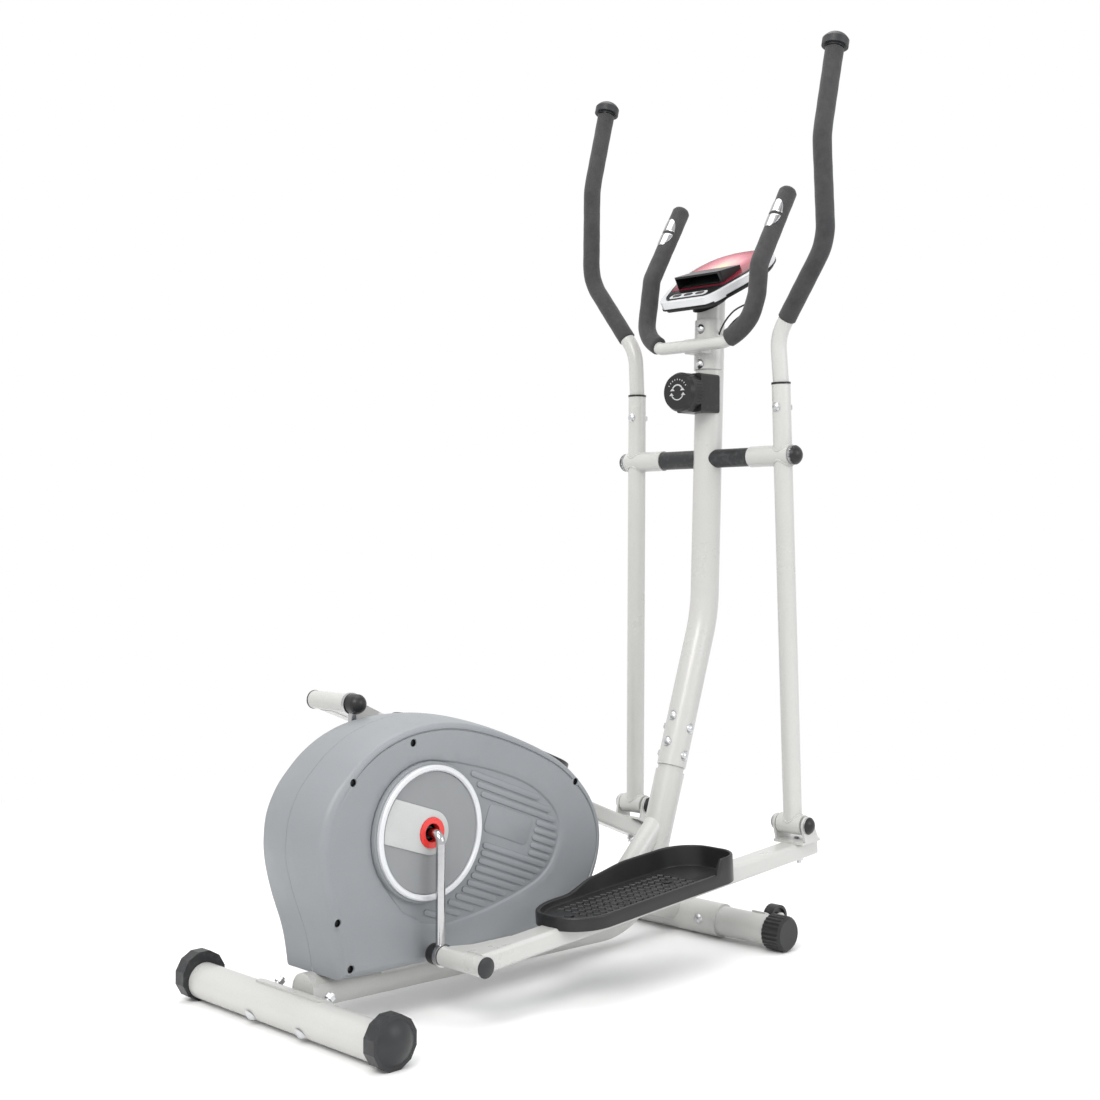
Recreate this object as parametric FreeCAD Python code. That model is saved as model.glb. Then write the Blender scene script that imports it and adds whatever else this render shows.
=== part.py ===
import FreeCAD, Part
from FreeCAD import Vector, Matrix
import math, os

# Elliptical trainer, millimetres.  +X is the way the user faces, +Y the user's left, +Z up, floor at Z = 0.
# Shapes are laid out with X = 0 on the rear stabilizer axis and moved by X_SHIFT on export.

# ---------------------------------------------------------------- driving dimensions
X_SHIFT = -493.65
GAP = 0.3

REAR_TUBE_R, REAR_TUBE_Z, REAR_TUBE_HALF = 26.0, 28.0, 229.0
REAR_CAP_R, REAR_CAP_RISE, REAR_CAP_IN, REAR_CAP_OUT = 35.0, 7.0, 209.0, 242.0

FRONT_X, FRONT_Z, FRONT_TUBE_R, FRONT_TUBE_HALF = 821.0, 29.0, 24.5, 223.0
SLEEVE_R, SLEEVE_HALF = 28.0, 99.0
FRONT_CAP_R, FRONT_CAP_IN, FRONT_CAP_OUT = 29.0, 200.0, 235.0
WHEEL_X, WHEEL_Y, WHEEL_Z, WHEEL_R, WHEEL_W = 871.0, 169.0, 38.0, 22.0, 18.0

BEAM_R = 25.0
BEAM_A, BEAM_B, POST_TOP = (24.0, 49.0), (716.0, 35.0), (797.0, 274.0)
POST_BEND = 135.0
MAST_PTS = [(799.9, 282.4), (889.0, 546.0), (907.5, 1102.0)]
MAST_BEND = 260.0
MAST_R = 25.0

PIVOT = (895.7, 818.0)
PIVOT_R = 10.0
ARM_Y = 167.0
ARM_L = 630.0
ARM_R = 16.0
ARM_TILT_R, ARM_TILT_L = -2.6, 0.3
GRIP_R = 15.7

CRANK = (186.0, 257.0)
CRANK_R = 169.0
CRANK_Y = 101.0
AXLE_R = 8.5
PED_W = -45.0

HOUSE_HALF, HOUSE_T = 72.0, 2.6
RING_R, RING_IN = 95.5, 87.0

PULLEY_R, FLY = 120.0, (427.0, 200.0)
FLY_R, FLY_PULLEY_R = 88.0, 19.2

CONSOLE = (841.0, 1071.0)
CONSOLE_TILT = 31.5
KNOB_Z = 932.0

V = Vector
O = V(0, 0, 0)
EX, EY, EZ = V(1, 0, 0), V(0, 1, 0), V(0, 0, 1)
os.makedirs("parts", exist_ok=True)
NODES = {}


# ---------------------------------------------------------------- helpers
def cyl(r, a, b):
    a, b = V(*a), V(*b)
    d = b - a
    return Part.makeCylinder(r, d.Length, a, d)


def ring(ro, ri, a, b):
    return cyl(ro, a, b).cut(cyl(ri, a, b))


def box(x0, x1, y0, y1, z0, z1):
    return Part.makeBox(x1 - x0, y1 - y0, z1 - z0, V(x0, y0, z0))


def rbox(x0, x1, y0, y1, z0, z1, r, axis="z"):
    s = box(x0, x1, y0, y1, z0, z1)
    k = {"x": 0, "y": 1, "z": 2}[axis]
    es = []
    for e in s.Edges:
        t = e.tangentAt(e.FirstParameter)
        if abs((t.x, t.y, t.z)[k]) > 0.9:
            es.append(e)
    return s.makeFillet(r, es)


def rounded(pts, radii):
    """Wire through pts with each inner corner rounded by its radius."""
    pts = [V(*p) for p in pts]
    if not isinstance(radii, (list, tuple)):
        radii = [radii] * (len(pts) - 2)
    edges, start = [], pts[0]
    for i in range(1, len(pts) - 1):
        a = (pts[i - 1] - pts[i]).normalize()
        b = (pts[i + 1] - pts[i]).normalize()
        ang = a.getAngle(b)
        if ang > math.pi - 0.004:
            continue
        r = radii[i - 1]
        t = r / math.tan(ang / 2)
        p1, p2 = pts[i] + a * t, pts[i] + b * t
        bis = (a + b).normalize()
        mid = pts[i] + bis * (r / math.sin(ang / 2) - r)
        if (p1 - start).Length > 1e-4:
            edges.append(Part.makeLine(start, p1))
        edges.append(Part.Arc(p1, mid, p2).toShape())
        start = p2
    edges.append(Part.makeLine(start, pts[-1]))
    return Part.Wire(edges)


def sweep(wire, r):
    e = wire.Edges[0]
    p = e.valueAt(e.FirstParameter)
    t = e.tangentAt(e.FirstParameter)
    prof = Part.Wire([Part.makeCircle(r, p, t)])
    return wire.makePipeShell([prof], True, True, 2)


def tube(pts, r, wall, radii):
    w = rounded(pts, radii)
    return sweep(w, r).cut(sweep(w, r - wall))


def prism(pts, y0, y1):
    """Extrude an XZ outline from y0 to y1."""
    w = Part.makePolygon([V(x, y0, z) for x, z in pts] + [V(pts[0][0], y0, pts[0][1])])
    return Part.Face(w).extrude(V(0, y1 - y0, 0))


def spline_prism(pts, y0, y1):
    c = Part.BSplineCurve()
    c.interpolate([V(x, y0, z) for x, z in pts])
    a, b = pts[-1], pts[0]
    w = Part.Wire([c.toShape(), Part.makeLine(V(a[0], y0, a[1]), V(b[0], y0, b[1]))])
    return Part.Face(w).extrude(V(0, y1 - y0, 0))


def inset(pts, d):
    out, n = [], len(pts)
    for i in range(n):
        a, b = pts[max(i - 1, 0)], pts[min(i + 1, n - 1)]
        tx, tz = b[0] - a[0], b[1] - a[1]
        m = math.hypot(tx, tz)
        out.append((pts[i][0] + d * tz / m, pts[i][1] - d * tx / m))
    return out


def hexnut(r, a, b):
    a, b = V(*a), V(*b)
    d = (b - a)
    L = d.Length
    pts = [V(r * math.cos(math.radians(60 * k)), r * math.sin(math.radians(60 * k)), 0) for k in range(7)]
    s = Part.Face(Part.makePolygon(pts)).extrude(V(0, 0, L))
    s.Placement = FreeCAD.Placement(a, FreeCAD.Rotation(EZ, d))
    return s


def dome(r, h, c, d):
    """Spherical cap button of radius r and height h with its flat face at c, rising along d."""
    R = (r * r + h * h) / (2 * h)
    c, d = V(*c), V(*d).normalize()
    sph = Part.makeSphere(R, c + d * (h - R))
    return sph.common(Part.makeCylinder(r + 0.01, h + 1, c, d))


def fuse(*s):
    a = s[0]
    for b in s[1:]:
        a = a.fuse(b)
    try:
        a = a.removeSplitter()
    except Exception:
        pass
    return a


def comp(*s):
    out = []
    for a in s:
        out += a.Solids
    return Part.makeCompound(out)


def mirror(s):
    return s.mirror(O, EY)


def both(s):
    return comp(s, mirror(s))


def turned(s, deg, move):
    s = s.copy()
    s.rotate(O, EY, deg)
    s.translate(V(*move))
    return s


def put(name, shape):
    shape = shape.copy()
    shape.translate(V(X_SHIFT, 0, 0))
    NODES[name] = shape


# ---------------------------------------------------------------- rear stabilizer
put("rear_stabilizer", ring(REAR_TUBE_R, REAR_TUBE_R - 2, (0, -REAR_TUBE_HALF, REAR_TUBE_Z), (0, REAR_TUBE_HALF, REAR_TUBE_Z)))


def leveller(s):
    """Twelve-sided eccentric foot cap that turns on the end of the rear tube."""
    zc = REAR_TUBE_Z + REAR_CAP_RISE
    rc = REAR_CAP_R / math.cos(math.radians(15))
    pts = [(rc * math.cos(math.radians(15 + 30 * k)), zc + rc * math.sin(math.radians(15 + 30 * k))) for k in range(12)]
    a = prism(pts, s * REAR_CAP_IN, s * REAR_CAP_OUT)
    a = a.common(dome(REAR_CAP_R * 1.12, 60, (0, s * (REAR_CAP_OUT - 60), zc), (0, s, 0)).fuse(cyl(REAR_CAP_R * 1.12, (0, s * 190, zc), (0, s * (REAR_CAP_OUT - 12), zc))))
    bore = cyl(REAR_TUBE_R + 0.06, (0, s * (REAR_CAP_IN - 1), REAR_TUBE_Z), (0, s * (REAR_TUBE_HALF + 0.5), REAR_TUBE_Z))
    return a.cut(bore)


put("rear_leveller_right", leveller(-1))
put("rear_leveller_left", leveller(1))

# ---------------------------------------------------------------- main frame
beam_w = rounded([(BEAM_A[0], 0, BEAM_A[1]), (BEAM_B[0], 0, BEAM_B[1]), (POST_TOP[0], 0, POST_TOP[1])], POST_BEND)
beam_o, beam_i = sweep(beam_w, BEAM_R), sweep(beam_w, BEAM_R - 2)
saddle = ring(REAR_TUBE_R + 3.1, REAR_TUBE_R + 0.1, (0, -73, REAR_TUBE_Z), (0, 73, REAR_TUBE_Z))
saddle = saddle.cut(prism([(-60, -40), (60, -40), (60, 22), (0, 28), (-8, 90), (-60, 90)], -80, 80))
rear_clear = cyl(REAR_TUBE_R + 0.1, (0, -80, REAR_TUBE_Z), (0, 80, REAR_TUBE_Z))
bdir = (POST_TOP[0] - BEAM_B[0], POST_TOP[1] - BEAM_B[1])
bl = math.hypot(*bdir)
bdir = (bdir[0] / bl, bdir[1] / bl)


def on_post(d):
    return (POST_TOP[0] + bdir[0] * d, 0, POST_TOP[1] + bdir[1] * d)


spigot = ring(22.3, 19.8, on_post(-30), on_post(92))
spigot_ring = ring(23.2, 19.8, on_post(-30), on_post(-1))
brace = cyl(19.0, (622, 0, 62), (762, 0, 190))
brace_i = cyl(17.0, (622, 0, 62), (762, 0, 190))
link_o = cyl(22.0, (722, 0, 66), (FRONT_X, 0, FRONT_Z + 6))
sleeve_o = cyl(SLEEVE_R, (FRONT_X, -SLEEVE_HALF, FRONT_Z), (FRONT_X, SLEEVE_HALF, FRONT_Z))
sleeve_i = cyl(FRONT_TUBE_R + 0.1, (FRONT_X, -SLEEVE_HALF - 1, FRONT_Z), (FRONT_X, SLEEVE_HALF + 1, FRONT_Z))
shell_o = cyl(24.0, (CRANK[0], -34, CRANK[1]), (CRANK[0], 34, CRANK[1]))
shell_i = cyl(20.6, (CRANK[0], -35, CRANK[1]), (CRANK[0], 35, CRANK[1]))


def bb_plate(s):
    p = prism([(CRANK[0] - 45, 47), (CRANK[0] + 45, 47), (CRANK[0] + 20, CRANK[1] - 4), (CRANK[0] - 20, CRANK[1] - 4)], s * 20, s * 23.5)
    return p


BR_PIV = (FLY[0] + 20, FLY[1] + 103)
# right flywheel plate also carries the brake shoe pin; left plate stands on a foot outboard of the belt
fly_right = prism([(FLY[0] - 26, 44), (FLY[0] + 26, 44), (FLY[0] + 13, FLY[1] - 8), (BR_PIV[0] + 9, BR_PIV[1] + 8), (BR_PIV[0] - 9, BR_PIV[1] + 8), (FLY[0] - 13, FLY[1] - 8)], -23.5, -20.5)
fly_left = prism([(FLY[0] - 26, 62), (FLY[0] + 26, 62), (FLY[0] + 11, FLY[1] + 10), (FLY[0] - 11, FLY[1] + 10)], 60, 63.5)
fly_foot = box(FLY[0] - 26, FLY[0] + 26, 4, 63.5, 58, 62.5)


frame_body = fuse(beam_o.cut(cyl(REAR_TUBE_R + 3, (0, -60, REAR_TUBE_Z), (0, 60, REAR_TUBE_Z))), brace, link_o)
frame_body = frame_body.cut(beam_i).cut(brace_i.common(box(600, 800, -30, 30, 60, 178)))
frame_body = frame_body.cut(sleeve_i)
plates = fuse(bb_plate(-1), bb_plate(1))
fplates = fuse(fly_right, fly_left, fly_foot).cut(beam_i)
frame = fuse(frame_body, sleeve_o.cut(sleeve_i), saddle, plates, shell_o)
frame = fuse(frame, fplates)
frame = frame.cut(shell_i).cut(sleeve_i).cut(rear_clear)
frame = frame.cut(cyl(6.05, (FLY[0], -40, FLY[1]), (FLY[0], 75, FLY[1])))
frame = fuse(frame, spigot, spigot_ring)

# saddle bolts run forward and up through plate, tube and plate
SB = (math.cos(math.radians(38)), math.sin(math.radians(38)))


def saddle_pt(d, y):
    return (SB[0] * d, y, 31 + SB[1] * d)


bolts, holes = [], []
for y in (-58, 58):
    bolts.append(fuse(cyl(4, saddle_pt(-30, y), saddle_pt(40, y)), dome(9.5, 5, saddle_pt(-27.95, y), (-SB[0], 0, -SB[1]))))
    bolts.append(hexnut(7.4, saddle_pt(30.4, y), saddle_pt(37, y)).cut(cyl(4, saddle_pt(20, y), saddle_pt(60, y))))
    holes.append(cyl(4.15, saddle_pt(-60, y), saddle_pt(60, y)))
    holes.append(cyl(10, saddle_pt(29.8, y), saddle_pt(60, y)))
for h in holes:
    frame = frame.cut(h)
NODES["rear_stabilizer"] = NODES["rear_stabilizer"].cut(holes[0].translated(V(X_SHIFT, 0, 0))).cut(holes[2].translated(V(X_SHIFT, 0, 0)))

# sleeve bolts on the front stabilizer, heads to the rear
for y in (-66, 66):
    head = dome(8.5, 5, (FRONT_X - 27.7, y, FRONT_Z + 2), (-1, 0, 0))
    bolts.append(fuse(head, cyl(4, (FRONT_X - 29, y, FRONT_Z + 2), (FRONT_X + 36, y, FRONT_Z + 2))))
    bolts.append(hexnut(7.4, (FRONT_X + 28.4, y, FRONT_Z + 2), (FRONT_X + 34.5, y, FRONT_Z + 2)).cut(cyl(4, (FRONT_X, y, FRONT_Z + 2), (FRONT_X + 60, y, FRONT_Z + 2))))
    holes.append(cyl(4.15, (FRONT_X - 60, y, FRONT_Z + 2), (FRONT_X + 60, y, FRONT_Z + 2)))
    frame = frame.cut(holes[-1]).cut(cyl(9.2, (FRONT_X - 60, y, FRONT_Z + 2), (FRONT_X - 27.69, y, FRONT_Z + 2))).cut(cyl(8.2, (FRONT_X + 28.0, y, FRONT_Z + 2), (FRONT_X + 60, y, FRONT_Z + 2)))

front_tube = ring(FRONT_TUBE_R, FRONT_TUBE_R - 2, (FRONT_X, -FRONT_TUBE_HALF, FRONT_Z), (FRONT_X, FRONT_TUBE_HALF, FRONT_Z))
for h in holes[4:]:
    front_tube = front_tube.cut(h)
put("front_stabilizer", front_tube)


def front_cap(s):
    pts, n = [], 48
    for k in range(n):
        r = FRONT_CAP_R - (1.4 if k % 2 else 0)
        a = 2 * math.pi * (k - 12) / n
        pts.append((FRONT_X + r * math.cos(a), FRONT_Z + r * math.sin(a)))
    a = prism(pts, s * FRONT_CAP_IN, s * FRONT_CAP_OUT)
    a = a.cut(cyl(60, (FRONT_X, s * (FRONT_CAP_OUT - 8), FRONT_Z), (FRONT_X, s * (FRONT_CAP_OUT + 1), FRONT_Z)).cut(Part.makeCone(33.0, 23.0, 10, V(FRONT_X, s * (FRONT_CAP_OUT - 8.5), FRONT_Z), V(0, s, 0))))
    return a.cut(cyl(FRONT_TUBE_R + 0.05, (FRONT_X, s * (FRONT_CAP_IN - 1), FRONT_Z), (FRONT_X, s * (FRONT_TUBE_HALF + 0.3), FRONT_Z)))


put("front_caps", comp(front_cap(-1), front_cap(1)))


# ---------------------------------------------------------------- transport wheels
def wheel_bracket(s):
    parts = []
    for dy in (-13.4, 10.4):
        y0 = WHEEL_Y + dy
        p = prism([(FRONT_X + 14, FRONT_Z + 14), (FRONT_X + 20, FRONT_Z - 4), (WHEEL_X + 2, WHEEL_Z - 10), (WHEEL_X, WHEEL_Z + 10)], s * y0, s * (y0 + 3))
        p = p.fuse(cyl(10, (WHEEL_X, s * y0, WHEEL_Z), (WHEEL_X, s * (y0 + 3), WHEEL_Z)))
        parts.append(p)
    # the two cheeks are welded to a curved foot on the tube
    foot = ring(FRONT_TUBE_R + 3.0, FRONT_TUBE_R + 0.05, (FRONT_X, s * (WHEEL_Y - 13.4), FRONT_Z), (FRONT_X, s * (WHEEL_Y + 13.4), FRONT_Z))
    foot = foot.common(prism([(FRONT_X, FRONT_Z), (FRONT_X + 60, FRONT_Z - 8), (FRONT_X + 60, FRONT_Z + 60), (FRONT_X + 12, FRONT_Z + 60)], s * 100, s * 215))
    b = fuse(parts[0], parts[1], foot)
    b = b.cut(cyl(FRONT_TUBE_R + 0.05, (FRONT_X, s * 100, FRONT_Z), (FRONT_X, s * 220, FRONT_Z)))
    b = b.cut(cyl(4.05, (WHEEL_X, s * 120, WHEEL_Z), (WHEEL_X, s * 220, WHEEL_Z)))
    bolt = cyl(4, (WHEEL_X, s * (WHEEL_Y - 19), WHEEL_Z), (WHEEL_X, s * (WHEEL_Y + 14), WHEEL_Z))
    head = dome(7.5, 4, (WHEEL_X, s * (WHEEL_Y + 13.5), WHEEL_Z), (0, s, 0))
    nut = hexnut(7.0, (WHEEL_X, s * (WHEEL_Y - 18.5), WHEEL_Z), (WHEEL_X, s * (WHEEL_Y - 13.5), WHEEL_Z))
    bolt = fuse(bolt, head, nut)
    return b, bolt


wb = [wheel_bracket(-1), wheel_bracket(1)]
put("wheel_brackets", comp(wb[0][0], wb[1][0]))
for s, n in ((-1, "right"), (1, "left")):
    w = ring(WHEEL_R, 4.06, (WHEEL_X, s * (WHEEL_Y - WHEEL_W / 2), WHEEL_Z), (WHEEL_X, s * (WHEEL_Y + WHEEL_W / 2), WHEEL_Z))
    for d in (1, -1):
        y = s * WHEEL_Y + d * WHEEL_W / 2
        w = w.cut(ring(WHEEL_R - 5, 8, (WHEEL_X, y, WHEEL_Z), (WHEEL_X, y - d * 4, WHEEL_Z)))
    put("transport_wheel_" + n, w)

# ---------------------------------------------------------------- mast
mast_w = rounded([(x, 0, z) for x, z in MAST_PTS], MAST_BEND)
mast = sweep(mast_w, MAST_R).cut(sweep(mast_w, MAST_R - 2))
mast = mast.cut(cyl(PIVOT_R + 0.05, (PIVOT[0], -40, PIVOT[1]), (PIVOT[0], 40, PIVOT[1])))
mast_bolts = []
mdx, mdz = MAST_PTS[1][0] - MAST_PTS[0][0], MAST_PTS[1][1] - MAST_PTS[0][1]
ml = math.hypot(mdx, mdz)
mdx, mdz = mdx / ml, mdz / ml


def on_mast(d):
    return (MAST_PTS[0][0] + mdx * d, MAST_PTS[0][1] + mdz * d)


for d in (20.0, 68.0):
    x, z = on_mast(d)
    mast = mast.cut(cyl(4.15, (x, -40, z), (x, 40, z)))
    frame = frame.cut(cyl(4.15, (x, -40, z), (x, 40, z)))
    mast = mast.cut(cyl(9.2, (x, -40, z), (x, -24.3, z))).cut(cyl(8.2, (x, 24.3, z), (x, 40, z)))
    b = fuse(cyl(4, (x, -26, z), (x, 33, z)), dome(8.5, 5, (x, -24.4, z), (0, -1, 0)), hexnut(7.4, (x, 24.5, z), (x, 31, z)))
    mast_bolts.append(b)
for d in (38.0, 84.0):
    x, z = on_mast(d)
    n = V(-mdz, 0, mdx)
    c = V(x, 0, z)
    a, b2 = c + n * 12, c + n * 40
    mast = mast.cut(cyl(4.15, tuple(a), tuple(b2))).cut(cyl(9.2, tuple(c + n * 24.3), tuple(b2)))
    frame = frame.cut(cyl(4.15, tuple(a), tuple(b2)))
    mast_bolts.append(fuse(cyl(4, tuple(c + n * 14), tuple(c + n * 26)), dome(8.5, 5, tuple(c + n * 24.4), (n.x, n.y, n.z))))

# ---------------------------------------------------------------- swing arm pivot
axle = cyl(PIVOT_R, (PIVOT[0], -190, PIVOT[1]), (PIVOT[0], 190, PIVOT[1]))
for s in (-1, 1):
    axle = axle.fuse(cyl(15.5, (PIVOT[0], s * 186, PIVOT[1]), (PIVOT[0], s * 189, PIVOT[1])))
    axle = axle.fuse(cyl(16.5, (PIVOT[0], s * 189, PIVOT[1]), (PIVOT[0], s * 194, PIVOT[1])))
    axle = axle.fuse(dome(16.5, 10.5, (PIVOT[0], s * 194, PIVOT[1]), (0, s, 0)))
put("pivot_axle", axle.removeSplitter())
sl = cyl(16.3, (PIVOT[0], 12, PIVOT[1]), (PIVOT[0], 99.5, PIVOT[1])).cut(sweep(mast_w, MAST_R + 0.1)).cut(cyl(PIVOT_R + 0.1, (PIVOT[0], 0, PIVOT[1]), (PIVOT[0], 110, PIVOT[1])))
put("pivot_sleeves", both(sl))


# ---------------------------------------------------------------- swing arms (pivot at origin, hanging down, outboard +Y)
def swing_arm():
    hub_in, hub_out = 100.2 - ARM_Y, 185.6 - ARM_Y
    lo = fuse(cyl(ARM_R, (0, 0, -ARM_L + 6), (0, 0, 121)), cyl(18, (0, hub_in, 0), (0, hub_out, 0)), cyl(17, (0, -24, -ARM_L), (0, 24, -ARM_L)))
    bore_t = cyl(ARM_R - 1.8, (0, 0, -ARM_L + 17), (0, 0, -18)).fuse(cyl(ARM_R - 1.8, (0, 0, 18), (0, 0, 122)))
    lo = lo.cut(bore_t).cut(cyl(13.05, (0, hub_in - 1, 0), (0, hub_out + 1, 0))).cut(cyl(10.05, (0, -30, -ARM_L), (0, 30, -ARM_L)))
    lo = lo.cut(cyl(4.15, (-40, 0, 82), (40, 0, 82)))
    path = [(0, 0, 26), (0, 0, 121), (-5, 0, 203), (-12, 108, 348), (-13, 106, 522), (27, 108, 671)]
    w = rounded(path, [120, 70, 95, 150])
    up = sweep(w, 13.6).cut(sweep(w, 11.8)).cut(cyl(4.15, (-40, 0, 82), (40, 0, 82)))
    g = sweep(w, GRIP_R).cut(sweep(w, 13.66))
    # the grip covers the tube from just above the lower bend to the end
    n = V(-0.05, 0.59, 0.806).normalize()
    c = V(-7, 17, 229)
    blk = Part.makeBox(600, 600, 900, V(-300, -300, 0))
    blk.Placement = FreeCAD.Placement(c, FreeCAD.Rotation(EZ, n))
    g = g.common(blk)
    e = V(40, 2, 149).normalize()
    t = V(27, 108, 671)
    cap = cyl(17.5, tuple(t), tuple(t + e * 3)).fuse(cyl(22.5, tuple(t + e * 3), tuple(t + e * 15))).fuse(dome(22.5, 13, tuple(t + e * 15), (e.x, e.y, e.z)))
    cap = cap.fuse(cyl(11.7, tuple(t - e * 14), tuple(t + e * 1))).removeSplitter()
    collar = cyl(16.6, (0, 0, 121.05), (0, 0, 124.5)).cut(sweep(w, 13.68))
    bolt = fuse(cyl(4, (-18, 0, 82), (24, 0, 82)), dome(8, 4.6, (-16.0, 0, 82), (-1, 0, 0)), hexnut(7.2, (16.1, 0, 82), (22, 0, 82)))
    up_b = ring(13.0, PIVOT_R + 0.05, (0, hub_in + 0.2, 0), (0, hub_in + 22, 0)).fuse(ring(13.0, PIVOT_R + 0.05, (0, hub_out - 22, 0), (0, hub_out - 0.2, 0)))
    lo_b = ring(10.0, 6.05, (0, -23.9, -ARM_L), (0, -6, -ARM_L)).fuse(ring(10.0, 6.05, (0, 6, -ARM_L), (0, 23.9, -ARM_L)))
    return lo, up, g, cap, comp(collar, bolt), comp(up_b, lo_b)


arm = swing_arm()
for s, n, tilt in ((-1, "right", ARM_TILT_R), (1, "left", ARM_TILT_L)):
    for shape, nm in zip((arm[0], arm[1], arm[2], arm[3], comp(arm[4], arm[5])), ("lower_arm", "upper_arm", "arm_grip", "arm_cap", "arm_fittings")):
        a = turned(shape, tilt, (PIVOT[0], ARM_Y, PIVOT[1]))
        if s < 0:
            a = mirror(a)
        put(nm + "_" + n, a)


def hub_at(tilt):
    t = math.radians(tilt)
    return (PIVOT[0] - ARM_L * math.sin(t), PIVOT[1] - ARM_L * math.cos(t))


HUB_R, HUB_L = hub_at(ARM_TILT_R), hub_at(ARM_TILT_L)
PIN_U = -math.sqrt(math.hypot(HUB_R[0] - CRANK[0], HUB_R[1] - CRANK[1] + CRANK_R) ** 2 - PED_W ** 2)
PIN_IN = 109.2
PIN_DROP = math.degrees(math.atan2(-PED_W, -PIN_U))
BEAM_SLOPE = math.degrees(math.atan2(HUB_R[1] - CRANK[1] + CRANK_R, HUB_R[0] - CRANK[0])) - PIN_DROP
LEFT_PITCH = math.degrees(math.atan2(CRANK[1] + CRANK_R - HUB_L[1], HUB_L[0] - CRANK[0])) + PIN_DROP + BEAM_SLOPE


# ---------------------------------------------------------------- pedal arms (lower pivot at origin, beam along X, outboard +Y)
def pedal_side():
    w = PED_W
    beam_out = rbox(PIN_U + 6, 40, -19, 19, w - 14, w + 14, 6, "x")
    beam_in = rbox(PIN_U + 24, 60, -17, 17, w - 12, w + 12, 4.2, "x")
    pin = cyl(14, (PIN_U, PIN_IN - ARM_Y, w), (PIN_U, 28, w))
    gus = Part.Face(Part.makePolygon([V(PIN_U + 2, PIN_IN + 4 - ARM_Y, w - 13), V(PIN_U + 10, PIN_IN + 6 - ARM_Y, w - 13), V(PIN_U + 34, -33, w - 13), V(PIN_U + 92, -18, w - 13), V(PIN_U + 40, 10, w - 13), V(PIN_U + 2, 10, w - 13), V(PIN_U + 2, PIN_IN + 4 - ARM_Y, w - 13)])).extrude(V(0, 0, 26))
    bm = fuse(beam_out, pin, gus)
    bm = bm.cut(beam_in.cut(cyl(14, (PIN_U, -70, w), (PIN_U, 40, w)))).cut(cyl(9.0, (PIN_U, 100 - ARM_Y, w), (PIN_U, 30, w)))
    # fork that carries the lower pivot
    base = rbox(-16, 34, -31.6, 31.6, w + 14, w + 18, 2.5, "z")
    ears = []
    for y0 in (-31.6, 27.2):
        e = prism([(-15, 0), (-9, w + 15), (30, w + 15), (14.6, 4)], y0, y0 + 4.4).fuse(cyl(15, (0, y0, 0), (0, y0 + 4.4, 0)))
        ears.append(e)
    bm = fuse(bm, base, ears[0], ears[1])
    bm = bm.cut(cyl(6.05, (0, -60, 0), (0, 60, 0))).cut(cyl(4.15, (13, 0, w - 40), (13, 0, w + 40)))
    bm = bm.cut(cyl(17.6, (0, -26.9, 0), (0, 26.9, 0)))
    # front end plug, pivot end cap, fork bolt
    plug = rbox(37.2, 41.5, -16.8, 16.8, w - 11.8, w + 11.8, 4, "x").fuse(rbox(40.05, 42.5, -18.6, 18.6, w - 13.6, w + 13.6, 5, "x"))
    pcap = fuse(cyl(8.9, (PIN_U, 16, w), (PIN_U, 28.1, w)), cyl(14.5, (PIN_U, 28.05, w), (PIN_U, 30, w)), dome(14.5, 3.5, (PIN_U, 30, w), (0, 1, 0)))
    fb = fuse(cyl(4, (13, 0, w - 25), (13, 0, w + 21)), dome(8, 4.4, (13, 0, w + 18.05), (0, 0, 1)), hexnut(7.2, (13, 0, w - 20.5), (13, 0, w - 14.1)))
    fit = comp(plug, pcap, fb)
    # pivot bolt with its ball caps
    ax = cyl(6, (0, -33, 0), (0, 33, 0))
    for s in (-1, 1):
        ax = ax.fuse(cyl(14.6, (0, s * 31.9, 0), (0, s * 34.2, 0))).fuse(dome(14.6, 8.2, (0, s * 34.2, 0), (0, s, 0)))
    ax = ax.removeSplitter()
    # wear washers between hub and fork stay on the bolt
    return bm, fit, ax


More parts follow.
